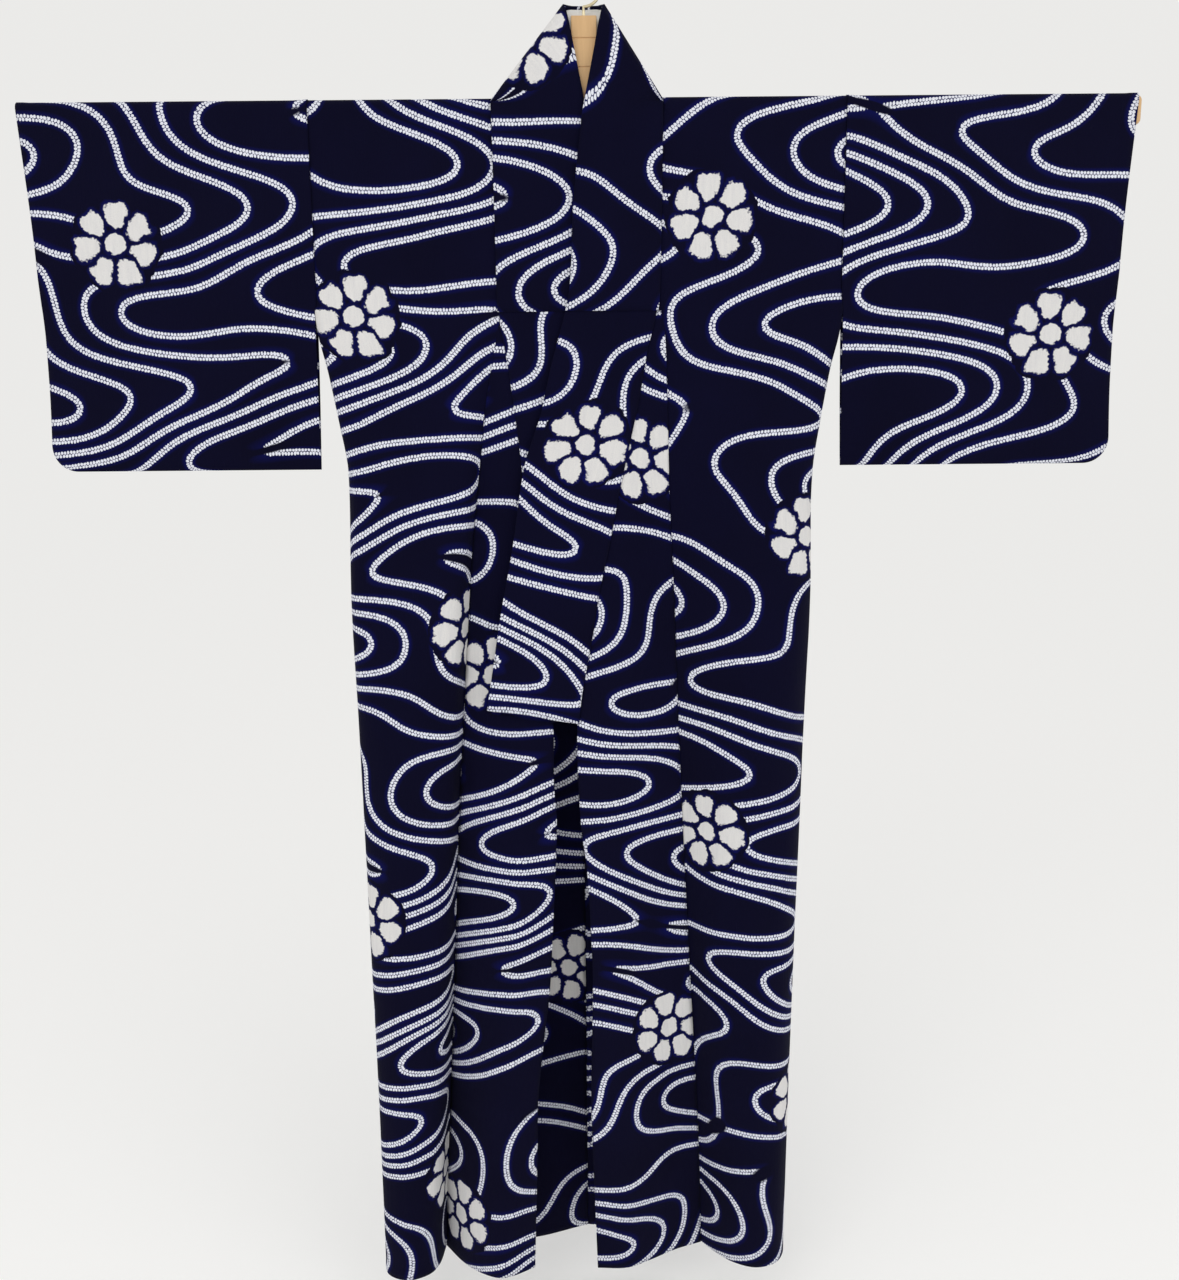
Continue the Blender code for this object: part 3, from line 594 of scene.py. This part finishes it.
def over_the_fold(u, v, row, point):
    """The flower at the neck lies across the collar's fold, so it is measured straight across it."""
    x, z = NECK_FLOWER
    return point.x - x + COLUMN_B, z - point.z + REPEAT / 2


def tuck_front_edge(side, points, flat):
    """Carry the front's inner edge a little way under the collar and behind the okumi."""
    for r in range(ROWS - 1):
        drop = row_drop(ROWS - r)
        behind = ease(drop, OKUMI_TIP[side], OKUMI_TIP[side] + TUCK_EASE)
        edge = points[r][NECK_COLUMNS]
        tuck = Vector((-outward(side) * TUCK_UNDER, TUCK_BEHIND[1] * behind, 0))
        points[r][NECK_COLUMNS] = edge + Vector((0, TUCK_BEHIND[0] * behind, 0))
        points[r][NECK_COLUMNS - 1] = edge + tuck
        u, v = flat[r][NECK_COLUMNS]
        flat[r][NECK_COLUMNS - 1] = (u + TUCK_UNDER, v)


def make_body(side, surfaces):
    """Half the body: one strip from the front's hem over the shoulder to the back's hem."""
    columns = NECK_COLUMNS + FRONT_COLUMNS
    last = 2 * ROWS + TURN_STEPS
    top = ROWS + TURN_STEPS // 2
    points = [[body_point(side, c, r) for c in range(columns + 1)] for r in range(last + 1)]
    down = lengths_along([row[columns - 4] for row in points])
    flat = []
    for r, row in enumerate(points):
        from_side = lengths_along(row[::-1])[::-1]
        flat.append([(distance, down[top] - down[r]) for distance in from_side])
    tuck_front_edge(side, points, flat)
    if side == "left":
        for row in points[ROWS + TURN_STEPS:]:
            row[0] = row[0] + Vector((-TUCK_UNDER, STEP_OVER, 0))
    sheet = Sheet(points, flat, outward(side), body_has_cell)
    sheet.raise_by(lambda u, v: crease_height(BODY_CREASES[side], u, v))
    front, back = BODY_FRONT_FLOWERS[side], BODY_BACK_FLOWERS[side]

    def flowers(u, v, row, point):
        moved = front if row < top else back
        return u + moved[0], v + moved[1]

    def hem(drop, u, v):
        return drop > HEM - HEM_BAND

    return sheet.build(f"cloth_body_{side}", surfaces, flowers, hem)


def lap_over_body(side, sheet):
    """Carry the sleeve's inner edge over the body's at the armhole seam."""
    normals = grid_normals(sheet.points)
    for r, row in enumerate(sheet.points):
        sewn = 1 - ease(-row[0].z, SLEEVE_SEWN_TO_BODY - LAP_EASE, SLEEVE_SEWN_TO_BODY)
        rise = normals[r][0] * sheet.facing * STEP_OVER * sewn
        lap = Vector((-outward(side) * (LAP_OPEN + LAP_SEWN * sewn), 0, 0))
        u, v = sheet.flat[r][0]
        edge = row[0]
        row[0] = edge + rise * LAP_RISE[0]
        row[1] = row[1] + rise * LAP_RISE[1]
        row.insert(0, edge + lap + rise)
        sheet.flat[r].insert(0, (u + LAP_WIDTH, v))


def make_sleeve(side, surfaces):
    """Sleeve: one strip folded over the bar, its inner edge lapped over the body."""
    last = 2 * SLEEVE_ROWS + TURN_STEPS
    points = [[sleeve_point(side, c, r) for c in range(SLEEVE_COLUMNS + 1)] for r in range(last + 1)]
    down = lengths_along([row[SLEEVE_COLUMNS // 2] for row in points])
    middle = down[SLEEVE_ROWS + TURN_STEPS // 2]
    flat = [[(SLEEVE_END - abs(point.x), middle - down[r]) for point in row] for r, row in enumerate(points)]
    sheet = Sheet(points, flat, outward(side))
    sheet.raise_by(lambda u, v: crease_height(SLEEVE_CREASES[side], u, v))
    lap_over_body(side, sheet)

    def cuff(drop, u, v):
        return u < HEM_BAND and drop < CUFF_OPENING

    return sheet.build(f"cloth_sleeve_{side}", surfaces, shifted(SLEEVE_FLOWERS[side]), cuff)


def make_okumi(side, surfaces):
    """Okumi, from its tip under the collar to the hem."""
    top = OKUMI_TIP[side]
    rows = round((HEM - top) / CELL)
    points, flat = [], []
    for r in range(rows + 1):
        drop = top + (HEM - top) * r / rows
        row = [okumi_point(side, c / OKUMI_COLUMNS, drop) for c in range(OKUMI_COLUMNS + 1)]
        points.append(row)
        flat.append([(distance, drop) for distance in lengths_along(row)])
    sheet = Sheet(points, flat, outward(side))
    sheet.raise_by(lambda u, v: crease_height(OKUMI_CREASES[side], u, v))

    def hem(drop, u, v):
        width = flat[min(max(round((drop - top) / CELL), 0), rows)][-1][0]
        return drop > HEM - HEM_BAND or (drop > COLLAR_END and u > width - HEM_BAND)

    return sheet.build(f"cloth_okumi_{side}", surfaces, shifted(OKUMI_FLOWERS[side]), hem)


def collar_sheet(stations, reach, columns, offset):
    """A strip of the collar at an offset outwards from the solid's middle."""
    shares = evenly(*reach, columns)
    points = [[seam.lerp(free, share) for share in shares] for seam, free in stations]
    middle = lengths_along([row[len(shares) // 2] for row in points])
    flat = [[(distance, middle[r]) for distance in lengths_along(row)] for r, row in enumerate(points)]
    sheet = Sheet(points, flat, 1)
    sheet.raise_by(lambda u, v: offset)
    return sheet


def no_hem(drop, u, v):
    """The collar's strips have no hem that shows."""
    return False


def make_collar(surfaces):
    """Collar band, with its free edge pressed over."""
    sheet = collar_sheet(collar_stations(COLLAR_END), COLLAR_REACH, COLLAR_COLUMNS, STEP_OVER)
    sheet.raise_by(lambda u, v: crease_height(COLLAR_CREASES, u, v))
    sheet.turn_edge_in()
    return sheet.build("cloth_collar", surfaces, shifted(COLLAR_FLOWERS), no_hem)


def make_collar_cover(surfaces):
    """Second layer over the neck part of the collar band."""
    stations = collar_stations(COLLAR_COVER_END)
    sheet = collar_sheet(stations, COVER_REACH, COLLAR_COLUMNS, 2 * STEP_OVER)
    return sheet.build("cloth_collar_cover", surfaces, over_the_fold, no_hem)


def make_neck_lining(surfaces):
    """White strip inside the back of the neck."""
    stations = collar_stations(COLLAR_COVER_END)
    middle = len(stations) // 2
    around = stations[middle - LINING_HALF_STATIONS:middle + LINING_HALF_STATIONS + 1]
    sheet = collar_sheet(around, LINING_REACH, LINING_COLUMNS, -LINING_BEHIND)
    return sheet.build("cloth_neck_lining", surfaces, shifted((0, 0)), no_hem)


class Value:
    """A number in a shader that can be added to, multiplied and compared."""

    def __init__(self, tree, socket):
        self.tree, self.socket = tree, socket

    def math(self, operation, *others, clamp=False):
        node = self.tree.nodes.new("ShaderNodeMath")
        node.operation = operation
        node.use_clamp = clamp
        self.tree.links.new(self.socket, node.inputs[0])
        for number, other in enumerate(others, 1):
            if isinstance(other, Value):
                self.tree.links.new(other.socket, node.inputs[number])
            else:
                node.inputs[number].default_value = other
        return Value(self.tree, node.outputs[0])

    def __add__(self, other):
        return self.math("ADD", other)

    def __sub__(self, other):
        return self.math("SUBTRACT", other)

    def __mul__(self, other):
        return self.math("MULTIPLY", other)

    def __truediv__(self, other):
        return self.math("DIVIDE", other)

    def __pow__(self, other):
        return self.math("POWER", other)

    def size(self):
        return self.math("ABSOLUTE")

    def below(self, limit, soft):
        """1 where the value is below the limit, 0 above it, with a soft edge."""
        return ((self - limit) * (-1.0 / soft)).math("ADD", 0.5, clamp=True)

    def wrapped(self, period):
        """Distance to the nearest multiple of the period, with its sign."""
        return (self + period / 2).math("FLOORED_MODULO", period) - period / 2


# Field whose even levels are the flowing lines, in metres: step between levels, and tilt (across, along)
LINE_SPACING = 0.054
LINE_TILT = (0.60, 0.20)
# Wave down the cloth (height, length, share of bend), and the slow wave that bends it (across, along, phase)
BENT_WAVE = (0.066, 0.210, 0.9)
BEND = (0.60, 0.75, 0.6)
# Waves added to these: height, length across, length along and phase
SIDE_WAVES = ((0.030, 0.47, 0.170, 2.1), (0.018, -0.38, 0.31, 4.0), (0.006, -0.22, 0.13, 2.0))
SLOPE_STEP = 0.0005
LEAST_SLOPE = 0.35
DIRECTION_STEP = math.pi / 8

# Lines stop where the field is nearly level: (slope, softness)
LEVEL_BELOW = (0.40, 0.12)

# Beads of the lines: sizes in metres, but half the length as a share of the pitch
BEAD_PITCH = 0.0038
BEAD_ROWS_APART = 0.0019
BEAD_HALF_WIDTH = 0.0019
BEAD_HALF_LENGTH = 0.42
# Noise that makes the beads uneven: (scale, strength)
BEAD_UNEVEN = (230.0, 1.9)
BEAD_RAGGED = (620.0, 0.9)
# Edges of the beads, and of the band of dye round them: (limit, softness)
BEAD_EDGE = (1.07, 0.36)
BAND_EDGE = (0.0062, 0.0060)

# Flowers: sizes in metres, the spread as a share of a petal's room and the turn as a share of a petal
PETALS = 7
PETAL_RADIUS, PETAL_HALF_LENGTH = 0.0335, 0.0145
PETAL_WIDENS_FROM = 0.004
PETAL_SPREAD, PETAL_TURN = 0.70, 0.15
PETAL_ROUND_ALONG, PETAL_ROUND_ACROSS = 3.2, 2.8
CENTRE_RADIUS = 0.0120
# Noise that bends the flowers and makes their edges ragged: (scale, strength)
FLOWER_WARP = (62.0, 0.014)
WARP_MOVED = (3.7, 1.9, 0.0)
PETAL_RAGGED = (330.0, 1.1)
CENTRE_RAGGED = 0.003
# Edges of petals, centre, the dye round both, and the clearing in the lines: (limit, softness)
PETAL_EDGE = (1.0, 0.30)
PETAL_BAND = (1.75, 1.2)
CENTRE_SOFT = 0.0012
CENTRE_BAND = (0.0150, 0.005)
LINES_STOP = (0.055, 0.0004)

# Colours of the dyed cloth; in pairs, noise goes from the first to the second
GROUND = ((0.0022, 0.0020, 0.0110), (0.0034, 0.0032, 0.0210))
DYE_HALO = (0.004, 0.006, 0.110)
BEAD_WHITE = ((0.66, 0.70, 0.86), (0.95, 0.95, 0.97))
PETAL_WHITE = ((0.58, 0.58, 0.62), (0.92, 0.90, 0.86))
EDGE_NAVY = (0.0045, 0.0045, 0.020, 1.0)
LINING_WHITE = ((0.72, 0.71, 0.68), (0.84, 0.83, 0.80))

# Surface of the dyed cloth
DULL_COTTON = 0.05
CLOUD_SCALE, FIBRE_SCALE = 9.0, 900.0
WEAVE_TURNS = 4200.0
WRINKLE_SCALE = (260.0, 28.0, 1.0)

# Hanger
WOOD_TONES = ((0.56, 0.33, 0.145), (0.76, 0.50, 0.25))
WOOD_GRAIN = (60.0, 90.0, 6.0)
BRASS_TONES = ((0.62, 0.52, 0.32), (0.80, 0.72, 0.50))

# Inputs and output of a colour mix node
MIX_SHARE, MIX_FIRST, MIX_SECOND, MIX_RESULT = 0, 6, 7, 2


def uv_values(tree, name):
    node = tree.nodes.new("ShaderNodeUVMap")
    node.uv_map = name
    parts = tree.nodes.new("ShaderNodeSeparateXYZ")
    tree.links.new(node.outputs[0], parts.inputs[0])
    return node, Value(tree, parts.outputs[0]), Value(tree, parts.outputs[1])


def noise(tree, vector, scale, detail=2.0, roughness=0.5):
    node = tree.nodes.new("ShaderNodeTexNoise")
    node.inputs["Scale"].default_value = scale
    node.inputs["Detail"].default_value = detail
    node.inputs["Roughness"].default_value = roughness
    tree.links.new(vector, node.inputs["Vector"])
    return Value(tree, node.outputs[0])


def line_field(u, v):
    """Height of the line field: its evenly spaced levels are the flowing lines."""
    turn = 2 * math.pi
    height = u * LINE_TILT[0] + v * LINE_TILT[1]
    bend = (u * (turn / BEND[0]) + v * (turn / BEND[1]) + BEND[2]).math("SINE")
    rise, along_it, share = BENT_WAVE
    height = height + (v * (turn / along_it) + bend * share).math("SINE") * rise
    for rise, across, along_it, phase in SIDE_WAVES:
        height = height + (u * (turn / across) + v * (turn / along_it) + phase).math("SINE") * rise
    return height


def line_masks(tree, u, v, vector):
    """Bead rows along the flowing lines, and a soft band around them."""
    height = line_field(u, v)
    slope_u = (line_field(u + SLOPE_STEP, v) - height) / SLOPE_STEP
    slope_v = (line_field(u, v + SLOPE_STEP) - height) / SLOPE_STEP
    steep = (slope_u * slope_u + slope_v * slope_v).math("SQRT")
    aside = (height / LINE_SPACING).wrapped(1.0) * LINE_SPACING / steep.math("MAXIMUM", LEAST_SLOPE)
    direction = (slope_u * -1.0).math("ARCTAN2", slope_v)
    direction = (direction / DIRECTION_STEP).math("ROUND") * DIRECTION_STEP
    run = (u * direction.math("COSINE") + v * direction.math("SINE")) / BEAD_PITCH
    run = run + aside.math("GREATER_THAN", 0.0) * 0.5
    uneven = noise(tree, vector, BEAD_UNEVEN[0], 1.0)
    ragged = noise(tree, vector, BEAD_RAGGED[0], 1.0)
    along_bead = (run.math("FRACT") - 0.5).size() / BEAD_HALF_LENGTH
    across_bead = (aside.size() - BEAD_ROWS_APART).size() / BEAD_HALF_WIDTH
    bead = along_bead ** 2.0 + across_bead ** 2.0
    bead = bead + (uneven - 0.5) * BEAD_UNEVEN[1] + (ragged - 0.5) * BEAD_RAGGED[1]
    sloping = steep.below(*LEVEL_BELOW) * -1.0 + 1.0
    beads = bead.below(*BEAD_EDGE) * sloping
    band = aside.size().below(*BAND_EDGE) * sloping
    return beads, band


def flower_masks(tree, u, v, vector):
    """Petals and centre of the flowers, their surroundings, and the clearing the lines leave."""
    warp_scale, warp = FLOWER_WARP
    warp_u = noise(tree, vector, warp_scale, 2.0)
    shift = tree.nodes.new("ShaderNodeVectorMath")
    shift.operation = "ADD"
    shift.inputs[1].default_value = WARP_MOVED
    tree.links.new(vector, shift.inputs[0])
    warp_v = noise(tree, shift.outputs[0], warp_scale, 2.0)
    moved_u = u + (warp_u - 0.5) * warp
    moved_v = v + (warp_v - 0.5) * warp
    along_a = moved_v.wrapped(REPEAT * MM)
    along_b = (moved_v + REPEAT * MM / 2).wrapped(REPEAT * MM)
    across_a = moved_u - COLUMN_A * MM
    across_b = moved_u - COLUMN_B * MM
    near_b = (across_b * across_b + along_b * along_b).math(
        "LESS_THAN", across_a * across_a + along_a * along_a)
    across = across_a + (across_b - across_a) * near_b
    down = along_a + (along_b - along_a) * near_b
    radius = (across * across + down * down).math("SQRT")
    turn = down.math("ARCTAN2", across) * (PETALS / (2 * math.pi)) + PETAL_TURN
    aside = (turn.math("FRACT") - 0.5) * (2 * math.pi / PETALS) * radius
    spread = (radius + PETAL_WIDENS_FROM) * (PETAL_SPREAD * math.pi / PETALS)
    radial = ((radius - PETAL_RADIUS) / PETAL_HALF_LENGTH).size() ** PETAL_ROUND_ALONG
    sideways = (aside / spread).size() ** PETAL_ROUND_ACROSS
    petal = radial + sideways
    edge = noise(tree, vector, PETAL_RAGGED[0], 1.0)
    petals = (petal + (edge - 0.5) * PETAL_RAGGED[1]).below(*PETAL_EDGE)
    petal_band = petal.below(*PETAL_BAND)
    centre = (radius + (edge - 0.5) * CENTRE_RAGGED).below(CENTRE_RADIUS, CENTRE_SOFT)
    centre_band = radius.below(*CENTRE_BAND)
    clear = radius.below(*LINES_STOP)
    return petals.math("MAXIMUM", centre), petal_band.math("MAXIMUM", centre_band), clear


def mixed(tree, share, first, second):
    """Mix two colours, given as sockets or as plain colours."""
    node = tree.nodes.new("ShaderNodeMix")
    node.data_type = "RGBA"
    tree.links.new(share.socket, node.inputs[MIX_SHARE])
    for number, colour in ((MIX_FIRST, first), (MIX_SECOND, second)):
        if isinstance(colour, tuple):
            node.inputs[number].default_value = (*colour, 1.0)
        else:
            tree.links.new(colour, node.inputs[number])
    return node.outputs[MIX_RESULT]


def new_material(name, roughness):
    """Material with its node tree and its one shader."""
    made = bpy.data.materials.new(name)
    made.use_nodes = True
    tree = made.node_tree
    shader = tree.nodes["Principled BSDF"]
    shader.inputs["Roughness"].default_value = roughness
    return made, tree, shader


def bump(tree, height, shader, distance, strength):
    """Raise the surface by a height."""
    node = tree.nodes.new("ShaderNodeBump")
    node.inputs["Distance"].default_value = distance
    node.inputs["Strength"].default_value = strength
    tree.links.new(height.socket, node.inputs["Height"])
    tree.links.new(node.outputs[0], shader.inputs["Normal"])


def crinkled(tree, vector):
    """Fine wrinkles that run down the cloth."""
    squeeze = tree.nodes.new("ShaderNodeMapping")
    squeeze.inputs["Scale"].default_value = WRINKLE_SCALE
    tree.links.new(vector, squeeze.inputs["Vector"])
    return noise(tree, squeeze.outputs[0], 1.0, 3.0, 0.6)


def dyed_cotton(name, line_shift):
    """Navy cotton with tied-and-dyed lines of white beads and large white flowers."""
    made, tree, shader = new_material(name, 0.85)
    line_map, u, v = uv_values(tree, "lines")
    flower_map, flower_u, flower_v = uv_values(tree, "flowers")
    beads, band = line_masks(tree, u + line_shift[0], v + line_shift[1], line_map.outputs[0])
    flowers, flower_band, clear = flower_masks(tree, flower_u, flower_v, flower_map.outputs[0])
    outside = (clear * -1.0) + 1.0
    beads = beads * outside
    band = band * outside
    cloudy = noise(tree, line_map.outputs[0], CLOUD_SCALE, 3.0)
    weave = (u * WEAVE_TURNS).math("SINE") * (v * WEAVE_TURNS).math("SINE")
    fibres = noise(tree, line_map.outputs[0], FIBRE_SCALE, 2.0)
    crinkle = crinkled(tree, line_map.outputs[0])
    ground = mixed(tree, cloudy, *GROUND)
    halo = band.math("MAXIMUM", flower_band) * (cloudy * 0.9 + 0.25)
    ground = mixed(tree, halo, ground, DYE_HALO)
    threads = fibres * 0.6 + crinkle * 0.5
    colour = mixed(tree, beads, ground, mixed(tree, threads, *BEAD_WHITE))
    colour = mixed(tree, flowers, colour, mixed(tree, threads, *PETAL_WHITE))
    tree.links.new(colour, shader.inputs["Base Color"])
    shader.inputs["Sheen Weight"].default_value = 0.01
    shader.inputs["Sheen Roughness"].default_value = 0.5
    shader.inputs["Specular IOR Level"].default_value = DULL_COTTON
    bump(tree, weave * 0.4 + fibres + crinkle * 1.6 + flowers * 0.6, shader, 0.0005, 0.8)
    return made


def cut_edge():
    """Plain navy for the narrow rims of the cloth."""
    made, _, shader = new_material("navy_cotton_edge", 0.9)
    shader.inputs["Base Color"].default_value = EDGE_NAVY
    shader.inputs["Specular IOR Level"].default_value = DULL_COTTON
    return made


def white_cotton():
    """Plain white cotton for the lining."""
    made, tree, shader = new_material("white_cotton", 0.85)
    node, _, _ = uv_values(tree, "lines")
    threads = noise(tree, node.outputs[0], 700.0, 2.0)
    tree.links.new(mixed(tree, threads, *LINING_WHITE), shader.inputs["Base Color"])
    bump(tree, threads, shader, 0.0003, 0.5)
    return made


def hanger_wood():
    """Pale orange-brown wood with fine lengthwise grain."""
    made, tree, shader = new_material("pale_hanger_wood", 0.5)
    place = tree.nodes.new("ShaderNodeTexCoord")
    stretch = tree.nodes.new("ShaderNodeMapping")
    stretch.inputs["Scale"].default_value = WOOD_GRAIN
    tree.links.new(place.outputs["Object"], stretch.inputs["Vector"])
    grain = noise(tree, stretch.outputs[0], 3.0, 4.0, 0.6)
    tree.links.new(mixed(tree, grain, *WOOD_TONES), shader.inputs["Base Color"])
    bump(tree, grain, shader, 0.0003, 0.4)
    return made


def hook_metal():
    """Slightly marked brass."""
    made, tree, shader = new_material("brass_wire", 0.3)
    place = tree.nodes.new("ShaderNodeTexCoord")
    marks = noise(tree, place.outputs["Object"], 300.0, 3.0)
    tree.links.new(mixed(tree, marks, *BRASS_TONES), shader.inputs["Base Color"])
    shader.inputs["Metallic"].default_value = 1.0
    return made


def dress_hanger():
    """Give the hanger's own solids their materials."""
    wood, brass = hanger_wood(), hook_metal()
    for node, finish in (("hanger_bar", wood), ("hanger_riser", wood), ("hanger_hook", brass)):
        for piece in bpy.data.objects:
            if piece.type == "MESH" and piece.name.split(".")[0] == node:
                piece.data.materials.clear()
                piece.data.materials.append(finish)


def area_light(name, power, size, place, target, colour):
    """Square light that faces its target."""
    data = bpy.data.lights.new(name, "AREA")
    data.energy = power
    data.size = size
    data.color = colour
    light = bpy.data.objects.new(name, data)
    light.location = place
    light.rotation_mode = "QUATERNION"
    light.rotation_quaternion = (Vector(target) - Vector(place)).to_track_quat("-Z", "Y")
    bpy.context.scene.collection.objects.link(light)


# Surroundings, in metres
PALE = (0.83, 0.825, 0.81, 1.0)
FLOOR_COLOUR = (0.93, 0.93, 0.93, 1.0)
FLOOR_RADIUS, FLOOR_HEIGHT = 60.0, -1.72

# Soft lights: name, power, size, place, target and colour
LIGHTS = (("key", 14.0, 1.6, (-1.2, -2.6, 0.9), (0, 0, -0.7), (1.0, 0.99, 0.97)),
          ("fill", 7.0, 1.8, (1.8, -2.2, 0.2), (0, 0, -0.8), (0.97, 0.98, 1.0)))

# Camera at the photo's angle, in metres, millimetres and degrees
CAMERA_PLACE = (0.0005, -1.427, -0.515)
CAMERA_LENS, CAMERA_SENSOR = 32.34, 36.0
CAMERA_TILT, CAMERA_ROLL = 79.7, -0.5


def stage():
    """Pale floor, pale surroundings and soft light."""
    bpy.ops.mesh.primitive_circle_add(vertices=96, radius=FLOOR_RADIUS, fill_type="NGON",
                                      location=(0, 0, FLOOR_HEIGHT))
    floor = bpy.context.object
    floor.name = "floor"
    made, _, shader = new_material("pale_floor", 0.9)
    shader.inputs["Base Color"].default_value = FLOOR_COLOUR
    shader.inputs["Specular IOR Level"].default_value = 0.0
    shader.inputs["Emission Color"].default_value = PALE
    shader.inputs["Emission Strength"].default_value = 0.07
    floor.data.materials.append(made)
    world = bpy.data.worlds.new("pale_room")
    world.use_nodes = True
    back = world.node_tree.nodes["Background"]
    back.inputs["Color"].default_value = PALE
    back.inputs["Strength"].default_value = 1.0
    bpy.context.scene.world = world
    for light in LIGHTS:
        area_light(*light)
    bpy.context.scene.view_settings.view_transform = "Standard"


def camera():
    """Camera at the photo's viewing angle."""
    data = bpy.data.cameras.new("camera")
    data.lens = CAMERA_LENS
    data.sensor_width = CAMERA_SENSOR
    made = bpy.data.objects.new("camera", data)
    made.location = CAMERA_PLACE
    made.rotation_mode = "QUATERNION"
    turn = Euler((math.radians(CAMERA_TILT), 0, 0)).to_quaternion()
    roll = Euler((0, 0, math.radians(CAMERA_ROLL))).to_quaternion()
    made.rotation_quaternion = turn @ roll
    bpy.context.scene.collection.objects.link(made)
    bpy.context.scene.camera = made


# Part of the line field that each piece shows, in metres: (moved across, moved along)
LINE_SHIFTS = {
    "body_right": (0.04, 0.10),
    "body_left": (0.55, 0.31),
    "sleeve_right": (0.21, 0.47),
    "sleeve_left": (0.83, 0.12),
    "okumi_right": (0.37, 0.64),
    "okumi_left": (0.71, 0.93),
    "collar": (0.13, 0.28),
    "collar_cover": (0.95, 0.435),
}


def hang(piece, nodes, kind):
    """Attach a cloth piece to the robe's root body and hide the solids it stands in for."""
    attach(piece, "root")
    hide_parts(*nodes)


def main():
    camera()
    stage()
    dress_hanger()
    rim = cut_edge()
    cotton = {name: (dyed_cotton(f"dyed_cotton_{name}", shift), rim) for name, shift in LINE_SHIFTS.items()}
    white = (white_cotton(),) * 2
    for side in ("right", "left"):
        piece = make_body(side, cotton[f"body_{side}"])
        hang(piece, [f"body_{side}_{part}" for part in BODY_SOLIDS], "body")
    for kind, make in (("sleeve", make_sleeve), ("okumi", make_okumi)):
        for side in ("right", "left"):
            piece = make(side, cotton[f"{kind}_{side}"])
            hang(piece, [f"{kind}_{side}"], kind)
    collar_nodes = ["collar_right", "collar_neck", "collar_left"]
    hang(make_collar(cotton["collar"]), collar_nodes, "collar")
    hang(make_collar_cover(cotton["collar_cover"]), ["collar_cover"], "collar_cover")
    hang(make_neck_lining(white), ["neck_lining"], "neck_lining")


main()
